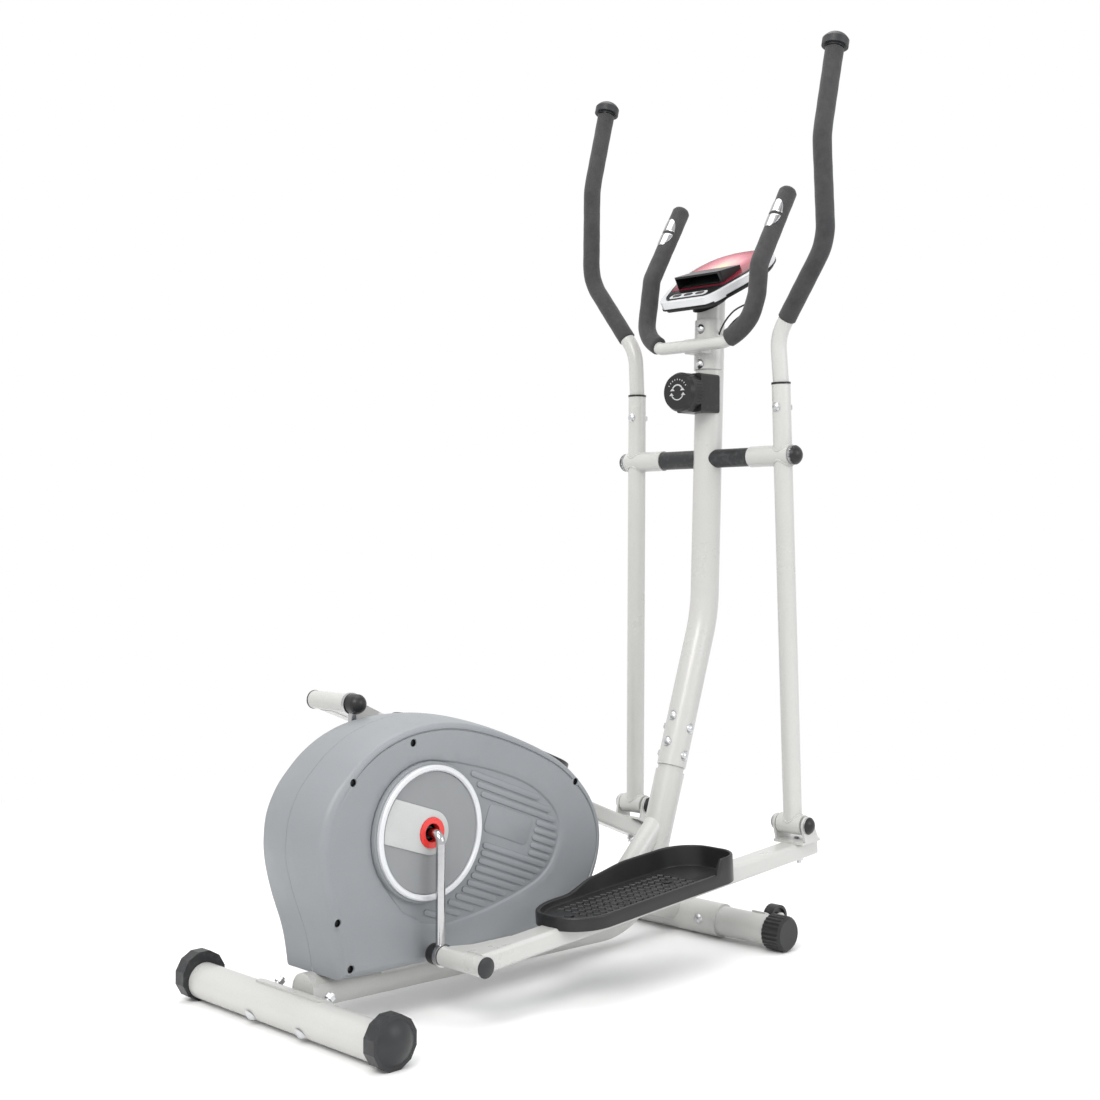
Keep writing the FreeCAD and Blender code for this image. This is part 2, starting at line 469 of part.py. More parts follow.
def pedal():
    w = PED_W + 14.1
    u0, u1, y0, y1 = -593.0, -222.0, 107.5 - ARM_Y, 233.0 - ARM_Y

    def outline(d, z):
        a0, a1, b0, b1 = u0 + d, u1 - d, y0 + d, y1 - d
        p = [V(a0 + 70, b0, z), V(a1 - 62, b0, z), V(a1, b0 + 56, z), V(a1, b1 - 40, z), V(a1 - 40, b1, z), V(a0 + 62, b1, z), V(a0, b1 - 62, z), V(a0, b0 + 46, z)]
        k = math.sqrt(0.5)
        es = [Part.makeLine(p[0], p[1]),
              Part.Arc(p[1], V(a1 - 62 + 62 * k, b0 + 56 - 56 * k, z), p[2]).toShape(),
              Part.makeLine(p[2], p[3]),
              Part.Arc(p[3], V(a1 - 40 + 40 * k, b1 - 40 + 40 * k, z), p[4]).toShape(),
              Part.makeLine(p[4], p[5]),
              Part.Arc(p[5], V(a0 + 62 - 62 * k, b1 - 62 + 62 * k, z), p[6]).toShape(),
              Part.makeLine(p[6], p[7]),
              Part.Arc(p[7], V(a0 + 70 - 70 * k, b0 + 46 - 46 * k, z), p[0]).toShape()]
        return Part.Face(Part.Wire(es))

    body = outline(0, w - 4).extrude(V(0, 0, 43.5))
    inner = outline(4, w + 5).extrude(V(0, 0, 50))
    under = outline(4, w - 5).extrude(V(0, 0, 5.1))
    body = body.cut(inner).cut(under)
    # low rim on the outboard side and heel, high rim inboard and round the toe
    low = Part.Face(Part.makePolygon([V(u0 - 5, y0 - 5, w + 16), V(u0 + 105, y0 - 5, w + 16), V(u0 + 118, y0 + 20, w + 16), V(u1 - 66, y1 - 22, w + 16), V(u1 - 60, y1 + 5, w + 16), V(u0 - 5, y1 + 5, w + 16), V(u0 - 5, y0 - 5, w + 16)])).extrude(V(0, 0, 60))
    body = body.cut(low)
    slope = prism([(u0 - 10, w + 12), (u0 + 104, w + 16), (u0 + 150, w + 31), (u0 + 230, w + 39.4), (u0 + 230, w + 80), (u0 - 10, w + 80)], y0 - 5, y1 + 5)
    body = body.cut(slope)
    body = body.cut(box(u0 - 20, u1 + 20, -19.3, 19.3, w - 20, w + 0.05))
    # raised tread bars
    bars = []
    for i in range(9):
        x = u0 + 66 + i * 26
        bars.append(box(x, x + 8, -34, 50, w + 4.9, w + 6.4))
    body = fuse(body, *bars)
    for x in (u0 + 42, u1 - 110):
        body = body.cut(cyl(3.3, (x, 0, w - 8), (x, 0, w + 20))).cut(cyl(7.2, (x, 0, w + 3.2), (x, 0, w + 20)))
    scr = []
    for x in (u0 + 42, u1 - 110):
        scr.append(fuse(cyl(3.2, (x, 0, w - 12), (x, 0, w + 3.3)), cyl(6.2, (x, 0, w + 3.25), (x, 0, w + 6.2))))
    return body, comp(*scr), [u0 + 42, u1 - 110]


bm, fit, ax = pedal_side()
ped, scr, sx = pedal()
for x in sx:
    bm = bm.cut(cyl(3.3, (x, 0, PED_W), (x, 0, PED_W + 30)))
for s, n, rot, hub in ((-1, "right", -BEAM_SLOPE, HUB_R), (1, "left", -BEAM_SLOPE + LEFT_PITCH, HUB_L)):
    for shape, nm in ((bm, "pedal_arm"), (comp(fit, scr), "pedal_arm_fittings"), (ax, "lower_pivot"), (ped, "pedal")):
        a = turned(shape, rot, (hub[0], ARM_Y, hub[1]))
        if s < 0:
            a = mirror(a)
        put(nm + "_" + n, a)


# ---------------------------------------------------------------- crankset
def crank_side(s):
    """Forged arm: straight axle stub, tight bend, rod and flattened eye; outboard +Y for s = 1, arm pointing along -s Z for the right side."""
    d = 1 if s > 0 else -1
    cx, cz = CRANK
    w = rounded([(cx, s * 30, cz), (cx, s * CRANK_Y, cz), (cx, s * CRANK_Y, cz + d * (CRANK_R - 12))], 13.0)
    rod = sweep(w, 6.8)
    ex = cyl(AXLE_R, (cx, 0, cz), (cx, s * 76, cz))
    eye = cyl(16.5, (cx, s * 102, cz + d * CRANK_R), (cx, s * 108, cz + d * CRANK_R))
    return fuse(rod, ex, eye)


crank = fuse(crank_side(-1), crank_side(1))
put("crankset", crank)
caps = []
for s in (-1, 1):
    z = CRANK[1] + s * CRANK_R
    caps.append(cyl(15, (CRANK[0], s * 88.0, z), (CRANK[0], s * 101.99, z)).fuse(dome(15, 11.5, (CRANK[0], s * 88.0, z), (0, -s, 0))).cut(cyl(6.9, (CRANK[0], s * CRANK_Y, z - s * 40), (CRANK[0], s * CRANK_Y, z - s * 10))).cut(cyl(6.9, (CRANK[0], s * CRANK_Y, z - s * 12), (CRANK[0], s * CRANK_Y, z - s * 5))))
put("crank_caps", comp(*caps))
brg = both(ring(20.55, AXLE_R + 0.04, (CRANK[0], 22, CRANK[1]), (CRANK[0], 33.5, CRANK[1])))
py0, py1 = 40.0, 56.0
pul = ring(PULLEY_R, AXLE_R + 0.02, (CRANK[0], py0, CRANK[1]), (CRANK[0], py1, CRANK[1]))
for d in (py0, py1):
    pul = pul.cut(ring(PULLEY_R - 10, 26, (CRANK[0], d - 5.5, CRANK[1]), (CRANK[0], d + 5.5, CRANK[1])))
for k in range(6):
    a = math.radians(60 * k)
    pul = pul.cut(cyl(17, (CRANK[0] + 66 * math.cos(a), py0 - 2, CRANK[1] + 66 * math.sin(a)), (CRANK[0] + 66 * math.cos(a), py1 + 2, CRANK[1] + 66 * math.sin(a))))
put("drive_pulley", pul)

# flywheel on a fixed axle, small pulley in line with the big one
fly = ring(FLY_R, 6.06, (FLY[0], -12, FLY[1]), (FLY[0], 12, FLY[1]))
for d in (-12, 12):
    fly = fly.cut(ring(FLY_R - 16, 18, (FLY[0], d - 7, FLY[1]), (FLY[0], d + 7, FLY[1])))
fly = fly.fuse(ring(12, 6.06, (FLY[0], -18, FLY[1]), (FLY[0], 19, FLY[1])))
put("flywheel", fly)
fly_axle = fuse(cyl(6, (FLY[0], -30, FLY[1]), (FLY[0], 68, FLY[1])), hexnut(10, (FLY[0], -30, FLY[1]), (FLY[0], -23.7, FLY[1])), hexnut(10, (FLY[0], 63.6, FLY[1]), (FLY[0], 68.4, FLY[1])))
put("drive_hardware", comp(brg, fly_axle))
fpul = fuse(ring(FLY_PULLEY_R, 6.06, (FLY[0], 38, FLY[1]), (FLY[0], 57, FLY[1])), ring(10, 6.06, (FLY[0], 19, FLY[1]), (FLY[0], 38.5, FLY[1])))
NODES["flywheel"] = NODES["flywheel"].fuse(fpul.translated(V(X_SHIFT, 0, 0))).removeSplitter()

# belt round both pulleys
dx, dz = FLY[0] - CRANK[0], FLY[1] - CRANK[1]
dist = math.hypot(dx, dz)
base = math.atan2(dz, dx)


def belt_outline(r1, r2, y):
    ph = math.acos((r1 - r2) / dist)
    a1, a2 = base + ph, base - ph

    def pt(c, r, a):
        return V(c[0] + r * math.cos(a), y, c[1] + r * math.sin(a))

    es = [Part.Arc(pt(CRANK, r1, a1), pt(CRANK, r1, base + math.pi), pt(CRANK, r1, a2)).toShape(),
          Part.makeLine(pt(CRANK, r1, a2), pt(FLY, r2, a2)),
          Part.Arc(pt(FLY, r2, a2), pt(FLY, r2, base), pt(FLY, r2, a1)).toShape(),
          Part.makeLine(pt(FLY, r2, a1), pt(CRANK, r1, a1))]
    return Part.Face(Part.Wire(es))


belt = belt_outline(PULLEY_R + 3.3, FLY_PULLEY_R + 3.3, 42).extrude(V(0, 12, 0)).cut(belt_outline(PULLEY_R + 0.35, FLY_PULLEY_R + 0.35, 41).extrude(V(0, 14, 0)))
put("drive_belt", belt)

# magnetic brake shoe in an arc over the front of the flywheel
arc_o = ring(FLY_R + 12, FLY_R + 8, (FLY[0], -16, FLY[1]), (FLY[0], 16, FLY[1]))
wedge = prism([(FLY[0], FLY[1]), (FLY[0] + 20, FLY[1] + 140), (FLY[0] + 150, FLY[1] + 90), (FLY[0] + 150, FLY[1] - 30)], -20, 20)
shoe = arc_o.common(wedge)
mags = []
for a in (66, 44, 22, 0):
    m = box(FLY_R + 3.5, FLY_R + 8.1, -13, 13, -11, 11)
    m.rotate(O, EY, -a)
    m.translate(V(FLY[0], 0, FLY[1]))
    mags.append(m)
lug = ring(7, 4.06, (BR_PIV[0], -16, BR_PIV[1]), (BR_PIV[0], 16, BR_PIV[1]))
shoe = fuse(shoe, lug, *mags).cut(cyl(4.06, (BR_PIV[0], -20, BR_PIV[1]), (BR_PIV[0], 20, BR_PIV[1])))
put("brake_shoe", shoe)
pin = cyl(4, (BR_PIV[0], -21, BR_PIV[1]), (BR_PIV[0], 17.5, BR_PIV[1]))
frame = frame.fuse(pin)
put("main_frame", frame)
put("mast_upright", mast)

# ---------------------------------------------------------------- housing shells
PROFILE = [(40, 72), (31, 125), (15, 177), (4, 222), (2, 256), (7, 290), (22, 321), (44, 346), (72, 370), (109, 391), (154, 405), (205, 410), (255, 406), (310, 393), (366, 374), (420, 351), (465, 326), (503, 294), (530, 260), (545, 222), (545, 185), (532, 148), (508, 114), (470, 86), (425, 70)]
INNER = inset(PROFILE, HOUSE_T)
INNER[0] = (INNER[0][0], PROFILE[0][1] + HOUSE_T)
INNER[-1] = (INNER[-1][0], PROFILE[-1][1] + HOUSE_T)


def house(s):
    o = spline_prism(PROFILE, s * 0.15, s * HOUSE_HALF)
    i = spline_prism(INNER, 0, s * (HOUSE_HALF - HOUSE_T))
    sh = o.cut(i)
    sh = sh.fuse(ring(RING_R + 3.5, 24, (CRANK[0], s * (HOUSE_HALF - 1), CRANK[1]), (CRANK[0], s * 78, CRANK[1])))
    sh = sh.cut(cyl(24, (CRANK[0], s * 60, CRANK[1]), (CRANK[0], s * 90, CRANK[1])))
    # slot for the base tube and open floor over it
    sh = sh.cut(box(-20, 600, -27, 27, 40, 76)).cut(box(FLY[0] - 45, FLY[0] + 45, -27, 27, 40, 84))
    if s > 0:
        sh = sh.cut(box(FLY[0] - 27, FLY[0] + 27, 57, 65.5, 55, 84))
    # bosses for the case screws, split at the middle
    for x, z in SCREWS:
        sh = sh.fuse(cyl(7, (x, s * 0.2, z), (x, s * (HOUSE_HALF - 1), z)))
        if s < 0:
            sh = sh.cut(cyl(2.3, (x, -100, z), (x, 0, z))).cut(cyl(4.6, (x, -100, z), (x, -HOUSE_HALF + 10.05, z)))
        else:
            sh = sh.cut(cyl(2.05, (x, -1, z), (x, 14, z)))
    return sh


SCREWS = [(160, 390), (55, 340), (30, 159), (52, 88), (489, 296), (480, 110)]
put("housing_right", house(-1))
put("housing_left", house(1))
put("housing_screws", comp(*[fuse(cyl(2.0, (x, -HOUSE_HALF + 10, z), (x, 12, z)), cyl(4.3, (x, -HOUSE_HALF + 10, z), (x, -HOUSE_HALF + 7.4, z))).cut(box(x - 3, x + 3, -HOUSE_HALF + 6, -HOUSE_HALF + 8.6, z - 0.6, z + 0.6)) for x, z in SCREWS]))
rg = ring(RING_R, RING_IN, (CRANK[0], 78.02, CRANK[1]), (CRANK[0], 84.5, CRANK[1]))
rg = rg.makeChamfer(2.0, [e for e in rg.Edges if abs(e.BoundBox.YMax - 84.5) < 0.01 and abs(e.BoundBox.YMin - 84.5) < 0.01])
put("disc_rings", both(rg))
disc = ring(RING_IN - 0.3, 22.2, (CRANK[0], 78.02, CRANK[1]), (CRANK[0], 80.2, CRANK[1]))
# wedge inlay raised over the disc, point to the rear
ia = math.radians(-15)
inl = [(-84, 22), (-84, -26), (0, -26), (26, -6), (26, 12), (8, 30)]
inl = [(CRANK[0] + x * math.cos(ia) - z * math.sin(ia), CRANK[1] + x * math.sin(ia) + z * math.cos(ia)) for x, z in inl]
wed = prism(inl, 80.0, 82.0).common(cyl(RING_IN - 0.4, (CRANK[0], 79, CRANK[1]), (CRANK[0], 84, CRANK[1]))).cut(cyl(22.2, (CRANK[0], 70, CRANK[1]), (CRANK[0], 90, CRANK[1])))
put("disc_inlays", both(fuse(disc, wed)))
put("crank_collars", both(fuse(ring(21.9, 13.4, (CRANK[0], 78.02, CRANK[1]), (CRANK[0], 84.0, CRANK[1])), ring(23.7, 13.4, (CRANK[0], 74, CRANK[1]), (CRANK[0], 78.01, CRANK[1])))))

# ---------------------------------------------------------------- fixed handlebar
hb_pts = [(855, -76, 1016), (866, -119, 1050), (880, -124, 1098), (887, -123, 1150), (969, -123, 1286)]
full = [(x, -y, z) for x, y, z in reversed(hb_pts)] + hb_pts
hw = rounded(full, [90, 90, 60, 32, 32, 60, 90, 90])
hb = sweep(hw, 11.0).cut(sweep(hw, 9.2))
br = ring(MAST_R + 3.1, MAST_R + 0.12, (903.3, 0, 976), (906.3, 0, 1064))
br = br.common(box(870, 903, -40, 40, 970, 1070))
cup = rbox(856, 886, -19, 19, 1003, 1029, 4, "y").cut(sweep(hw, 11.06)).cut(cyl(MAST_R + 1, (903.3, 0, 970), (906.3, 0, 1070)))
brk = fuse(br, cup)
brk = brk.cut(sweep(hw, 11.06))
hb_bolts = []
for z in (986, 1048):
    x = 903.6 + (z - 986) * 0.0346
    brk = brk.cut(cyl(4.15, (x - 60, 0, z), (x, 0, z)))
    mast = mast.cut(cyl(4.15, (x - 60, 0, z), (x, 0, z)))
    hb_bolts.append(fuse(cyl(4, (x - 30, 0, z), (x - 12, 0, z)), dome(8.6, 5, (x - 28.8, 0, z), (-1, 0, 0))))
put("handlebar", hb)
put("handlebar_bracket", brk)
put("frame_bolts", comp(*(bolts + mast_bolts + hb_bolts + [wb[0][1], wb[1][1]])))
put("mast_upright", mast)
hs = sweep(hw, 16.2).cut(sweep(hw, 11.06))
gr = hs.common(box(700, 1100, -200, -78, 900, 1400))
end = V(969, -123, 1286)
e = V(82, 0, 136).normalize()
plug = cyl(16.2, tuple(end + e * 0.05), tuple(end + e * 4)).fuse(cyl(9.0, tuple(end - e * 12), tuple(end + e * 1))).removeSplitter()
pads = []
for d in (44, 82):
    c = end - e * d
    n = V(-136, 0, 82).normalize()
    p = ring(17.3, 16.25, tuple(c - e * 13), tuple(c + e * 13))
    blk = Part.makeBox(60, 26, 60, V(-30, -13, 6))
    blk.Placement = FreeCAD.Placement(c, FreeCAD.Rotation(EX, EY, n, "ZYX"))
    pads.append(p.common(blk))
put("bar_grip_right", comp(gr, plug))
put("bar_grip_left", mirror(comp(gr, plug)))
put("pulse_plates", comp(*(pads + [mirror(p) for p in pads])))


def wire_cord(pts, r):
    c = Part.BSplineCurve()
    c.interpolate([V(*p) for p in pts])
    w = Part.Wire([c.toShape()])
    return sweep(w, r)


WIRES = [[(899, -24.5, 1036), (893, -33, 1045), (886, -52, 1062), (880, -80, 1078), (876, -109.6, 1082)],
         [(901, -24.5, 1027), (895, -36, 1033), (886, -56, 1046), (878, -82, 1060), (871, -108.4, 1066)]]
pw = [wire_cord(p, 1.5) for p in WIRES]
pw_hole = [wire_cord(p, 1.58) for p in WIRES]
wire_face = [cyl(1.58, tuple(V(*p[0]) - (V(*p[1]) - V(*p[0])) * 0.5), p[0]) for p in WIRES]
put("pulse_wires", comp(*pw))
for h in pw_hole + wire_face:
    brk = brk.cut(h)
    mast = mast.cut(h)
    gr = gr.cut(h)
put("handlebar_bracket", brk)
put("mast_upright", mast)
put("bar_grip_right", comp(gr, plug))

# ---------------------------------------------------------------- console
OUT = [(0, 46), (8, 57), (40, 72), (80, 86), (120, 93), (152, 91), (182, 80), (203, 62), (214, 38), (218, 14)]


def con_face(sc, n0, n1):
    """Slab with the console outline; local X up the panel, Y across, Z out of the panel."""
    pts = [(110 + (s - 110) * sc[0], w * sc[1]) for s, w in OUT]
    seq = [V(s, w, n0) for s, w in pts] + [V(s, -w, n0) for s, w in reversed(pts)]
    c = Part.BSplineCurve()
    c.interpolate(seq)
    w = Part.Wire([c.toShape(), Part.makeLine(seq[-1], seq[0])])
    return Part.Face(w).extrude(V(0, 0, n1 - n0))


def con_place(s):
    s = s.copy()
    s.rotate(O, EY, -CONSOLE_TILT)
    s.translate(V(CONSOLE[0], 0, CONSOLE[1]))
    return s


case = con_face((0.95, 0.95), 4, 10).fuse(con_face((1, 1), 10, 25)).cut(con_face((0.93, 0.92), 7, 19.5)).cut(con_face((0.91, 0.88), 22.5, 26))
for y in (-26, 0, 26):
    case = case.cut(rbox(16, 26, y - 9.3, y + 9.3, 18, 24, 4.6, "z"))
case = con_place(case)
sock = cyl(31, (903.9, 0, 1068), (906.9, 0, 1140)).common(con_place(con_face((0.95, 0.95), -12, 4.2)))
case = fuse(case, sock).cut(cyl(MAST_R + 0.3, (902.3, 0, 1040), (907.6, 0, 1108)))
panel = con_face((0.905, 0.872), 22.52, 26.5)
hood_o = rbox(56, 122, -52, 52, 26.5, 50, 7, "z").cut(prism([(40, 64), (40, 51), (56, 49.5), (122, 33), (160, 26.5), (190, 64)], -80, 80))
panel = panel.cut(rbox(62, 112, -45, 45, 24.5, 30, 2, "z"))
hood_i = box(40, 117, -48, 48, 20, 46).cut(prism([(30, 64), (30, 46.5), (56, 45.8), (122, 29), (160, 20), (190, 64)], -80, 80))
hood_o = hood_o.cut(hood_i)
screen = rbox(62.2, 111.8, -44.8, 44.8, 24.52, 27.0, 2, "z")
btns = []
for y in (-26, 0, 26):
    panel = panel.cut(rbox(16, 26, y - 9.3, y + 9.3, 20, 30, 4.6, "z"))
    btns.append(rbox(16.4, 25.6, y - 8.9, y + 8.9, 21.6, 28.6, 4.4, "z"))
put("console_case", case)
put("console_panel", con_place(panel))
put("console_hood", con_place(hood_o))
put("console_screen", con_place(screen))
for b, n in zip(btns, ("right", "middle", "left")):
    put("console_button_" + n, con_place(b))

# ---------------------------------------------------------------- tension control
tb = rbox(846, 897, -28, 28, 898, 966, 5, "x").cut(sweep(mast_w, MAST_R + 0.12))
tb = tb.cut(box(886, 900, -18, 18, 890, 970)).cut(cyl(5.05, (830, 0, KNOB_Z), (874, 0, KNOB_Z)))
put("tension_box", tb)
kn = cyl(34.5, (822, 0, KNOB_Z), (845.6, 0, KNOB_Z)).fuse(Part.makeCone(34.5, 31, 7, V(822, 0, KNOB_Z), V(-1, 0, 0)))
for k in range(36):
    a = math.radians(10 * k)
    kn = kn.cut(cyl(1.1, (830, 34.9 * math.cos(a), KNOB_Z + 34.9 * math.sin(a)), (850, 34.9 * math.cos(a), KNOB_Z + 34.9 * math.sin(a))))
kn = kn.fuse(cyl(5, (845, 0, KNOB_Z), (872, 0, KNOB_Z)))
put("tension_knob", kn)

# ---------------------------------------------------------------- export
bb = None
for n in sorted(NODES):
    s = NODES[n]
    s.exportStep("parts/%s.step" % n)
    b = s.BoundBox
    bb = b if bb is None else bb.united(b)
    print("%-24s solids %d valid %s vol %.1f cm3" % (n, len(s.Solids), s.isValid(), s.Volume / 1000))
print("nodes", len(NODES), "X %.1f %.1f  Y %.1f %.1f  Z %.1f %.1f" % (bb.XMin, bb.XMax, bb.YMin, bb.YMax, bb.ZMin, bb.ZMax))
print("beam slope %.3f left pitch %.3f pin %.2f" % (BEAM_SLOPE, LEFT_PITCH, PIN_U))
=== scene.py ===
import bpy, bmesh, math
from mathutils import Vector, Matrix


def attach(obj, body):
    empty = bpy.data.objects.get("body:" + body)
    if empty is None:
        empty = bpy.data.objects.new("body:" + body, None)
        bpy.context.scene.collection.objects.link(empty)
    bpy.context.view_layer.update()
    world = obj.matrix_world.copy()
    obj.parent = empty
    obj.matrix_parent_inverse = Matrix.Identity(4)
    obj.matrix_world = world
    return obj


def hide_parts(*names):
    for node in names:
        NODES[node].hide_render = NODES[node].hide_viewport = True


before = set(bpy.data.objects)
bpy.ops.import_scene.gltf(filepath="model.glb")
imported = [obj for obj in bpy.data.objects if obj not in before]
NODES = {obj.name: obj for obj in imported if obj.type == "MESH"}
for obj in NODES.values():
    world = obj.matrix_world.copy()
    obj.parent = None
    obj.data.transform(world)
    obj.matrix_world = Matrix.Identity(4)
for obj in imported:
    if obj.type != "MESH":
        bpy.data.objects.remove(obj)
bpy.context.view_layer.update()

SC = bpy.context.scene
XS = -0.49365                      # layout origin (rear stabilizer axis) in the row frame


def P3(x, y, z):
    """Layout millimetres to row-frame metres."""
    return Vector((x / 1000 + XS, y / 1000, z / 1000))


# ------------------------------------------------------------------ materials
def new_mat(name):
    m = bpy.data.materials.new(name)
    m.use_nodes = True
    nt = m.node_tree
    return m, nt, nt.nodes["Principled BSDF"]


def add(nt, kind, **kw):
    n = nt.nodes.new(kind)
    for k, v in kw.items():
        if k.startswith("i_"):
            n.inputs[k[2:].replace("_", " ")].default_value = v
        else:
            setattr(n, k, v)
    return n


def ramp(nt, src, stops):
    r = nt.nodes.new("ShaderNodeValToRGB")
    el = r.color_ramp.elements
    while len(el) < len(stops):
        el.new(0.5)
    for e, (p, c) in zip(el, stops):
        e.position = p
        e.color = c if len(c) == 4 else (*c, 1)
    nt.links.new(src, r.inputs["Fac"])
    return r.outputs["Color"]


def grey(v):
    return (v, v, v, 1)


def material(name, dark, light, rough, metal=0.0, tone_scale=9.0, grain=(900, 0.12, 0.0002), wave=None, cells=None,
             coat=0.0, coat_rough=0.1, sheen=0.0, spec=0.5, scratch=0.0, wear=None, stretch=None):
    """Two-tone mottled surface with varied roughness and a bump stack."""
    m, nt, b = new_mat(name)
    tc = nt.nodes.new("ShaderNodeTexCoord")
    co = tc.outputs["Object"]
    big = add(nt, "ShaderNodeTexNoise", i_Scale=tone_scale, i_Detail=5.0, i_Roughness=0.6)
    nt.links.new(co, big.inputs["Vector"])
    col = ramp(nt, big.outputs["Fac"], [(0.32, dark), (0.68, light)])
    speck = add(nt, "ShaderNodeTexNoise", i_Scale=grain[0] * 0.55, i_Detail=2.0, i_Roughness=0.5)
    nt.links.new(co, speck.inputs["Vector"])
    sp = ramp(nt, speck.outputs["Fac"], [(0.3, grey(0.90)), (0.7, grey(1.0))])
    mx = nt.nodes.new("ShaderNodeMix")
    mx.data_type = "RGBA"
    mx.blend_type = "MULTIPLY"
    mx.inputs[0].default_value = 0.6
    nt.links.new(col, mx.inputs[6])
    nt.links.new(sp, mx.inputs[7])
    last = mx.outputs[2]
    if wear is not None:
        g = nt.nodes.new("ShaderNodeNewGeometry")
        pr = ramp(nt, g.outputs["Pointiness"], [(0.58, grey(0.0)), (0.68, grey(1.0))])
        pn = add(nt, "ShaderNodeTexNoise", i_Scale=120.0, i_Detail=4.0)
        nt.links.new(co, pn.inputs["Vector"])
        pnr = ramp(nt, pn.outputs["Fac"], [(0.5, grey(0.0)), (0.62, grey(0.5))])
        mul = nt.nodes.new("ShaderNodeMath")
        mul.operation = "MULTIPLY"
        nt.links.new(pr, mul.inputs[0])
        nt.links.new(pnr, mul.inputs[1])
        m2 = nt.nodes.new("ShaderNodeMix")
        m2.data_type = "RGBA"
        nt.links.new(mul.outputs[0], m2.inputs[0])
        nt.links.new(last, m2.inputs[6])
        m2.inputs[7].default_value = (*wear, 1)
        last = m2.outputs[2]
    nt.links.new(last, b.inputs["Base Color"])
    rr = add(nt, "ShaderNodeTexNoise", i_Scale=tone_scale * 4.3, i_Detail=6.0, i_Roughness=0.65)
    nt.links.new(co, rr.inputs["Vector"])
    mr = add(nt, "ShaderNodeMapRange")
    mr.inputs["From Min"].default_value = 0.25
    mr.inputs["From Max"].default_value = 0.75
    mr.inputs["To Min"].default_value = max(0.03, rough * 0.8)
    mr.inputs["To Max"].default_value = min(1.0, rough * 1.22)
    nt.links.new(rr.outputs["Fac"], mr.inputs["Value"])
    nt.links.new(mr.outputs["Result"], b.inputs["Roughness"])
    b.inputs["Metallic"].default_value = metal
    b.inputs["Specular IOR Level"].default_value = spec
    b.inputs["Coat Weight"].default_value = coat
    b.inputs["Coat Roughness"].default_value = coat_rough
    b.inputs["Sheen Weight"].default_value = sheen
    # bump stack
    normal = None
    fine = add(nt, "ShaderNodeTexNoise", i_Scale=grain[0], i_Detail=3.0, i_Roughness=0.55)
    nt.links.new(co, fine.inputs["Vector"])
    stack = [(fine.outputs["Fac"], grain[1], grain[2])]
    if wave:
        w = add(nt, "ShaderNodeTexNoise", i_Scale=wave[0], i_Detail=1.0)
        nt.links.new(co, w.inputs["Vector"])
        stack.append((w.outputs["Fac"], wave[1], wave[2]))
    if cells:
        v = add(nt, "ShaderNodeTexVoronoi", i_Scale=cells[0])
        nt.links.new(co, v.inputs["Vector"])
        stack.append((v.outputs["Distance"], cells[1], cells[2]))
    if scratch:
        mp = nt.nodes.new("ShaderNodeMapping")
        mp.inputs["Scale"].default_value = stretch or (4.0, 4.0, 600.0)
        nt.links.new(co, mp.inputs["Vector"])
        sn = add(nt, "ShaderNodeTexNoise", i_Scale=3.0, i_Detail=4.0)
        nt.links.new(mp.outputs["Vector"], sn.inputs["Vector"])
        stack.append((sn.outputs["Fac"], scratch, 0.0001))
    for src, strength, dist in stack:
        bp = nt.nodes.new("ShaderNodeBump")
        bp.inputs["Strength"].default_value = strength
        bp.inputs["Distance"].default_value = dist
        nt.links.new(src, bp.inputs["Height"])
        if normal is not None:
            nt.links.new(normal, bp.inputs["Normal"])
        normal = bp.outputs["Normal"]
    nt.links.new(normal, b.inputs["Normal"])
    return m


M = {}
M["paint"] = material("frame_paint", (0.455, 0.455, 0.44), (0.505, 0.505, 0.49), 0.30, tone_scale=2.2, grain=(900, 0.06, 0.0002), wave=(140, 0.05, 0.0005), coat=0.25, coat_rough=0.18)
M["housing"] = material("housing_plastic", (0.212, 0.226, 0.240), (0.236, 0.250, 0.264), 0.42, tone_scale=3, grain=(1500, 0.16, 0.0002), wave=(60, 0.03, 0.001), cells=(1300, 0.10, 0.0002), wear=(0.36, 0.38, 0.39))
M["disc"] = material("disc_plastic", (0.208, 0.216, 0.224), (0.230, 0.238, 0.246), 0.36, tone_scale=4, grain=(1700, 0.10, 0.0002), wear=(0.4, 0.41, 0.42))
M["inlay"] = material("inlay_plastic", (0.42, 0.43, 0.425), (0.47, 0.48, 0.475), 0.36, tone_scale=10, grain=(1500, 0.10, 0.0002))
M["silver"] = material("silver_trim", (0.60, 0.61, 0.63), (0.66, 0.67, 0.69), 0.34, metal=0.25, tone_scale=5, grain=(1200, 0.03, 0.0001))
M["red"] = material("red_plastic", (0.58, 0.020, 0.018), (0.72, 0.035, 0.028), 0.30, tone_scale=30, grain=(1500, 0.08, 0.0002), coat=0.3)
M["chrome"] = material("chrome_plate", (0.43, 0.43, 0.44), (0.50, 0.50, 0.51), 0.14, metal=1.0, tone_scale=14, grain=(400, 0.015, 0.0003), scratch=0.02)
M["zinc"] = material("zinc_plate", (0.52, 0.53, 0.54), (0.66, 0.67, 0.68), 0.30, metal=1.0, tone_scale=60, grain=(900, 0.10, 0.0002))
M["black"] = material("black_plastic", (0.0105, 0.0105, 0.011), (0.017, 0.017, 0.018), 0.34, tone_scale=5, grain=(1300, 0.16, 0.0002), cells=(900, 0.10, 0.0002), wear=(0.05, 0.05, 0.052), spec=0.36)
M["char"] = material("charcoal_plastic", (0.016, 0.017, 0.0185), (0.024, 0.025, 0.027), 0.42, tone_scale=6, grain=(1200, 0.16, 0.0002), cells=(800, 0.10, 0.0002), wear=(0.07, 0.07, 0.073), spec=0.4)
M["foam"] = material("foam_grip", (0.034, 0.034, 0.036), (0.048, 0.048, 0.050), 0.80, tone_scale=26, grain=(850, 0.45, 0.0006), wave=(220, 0.12, 0.0009), cells=(620, 0.35, 0.0006), sheen=0.15, spec=0.3)
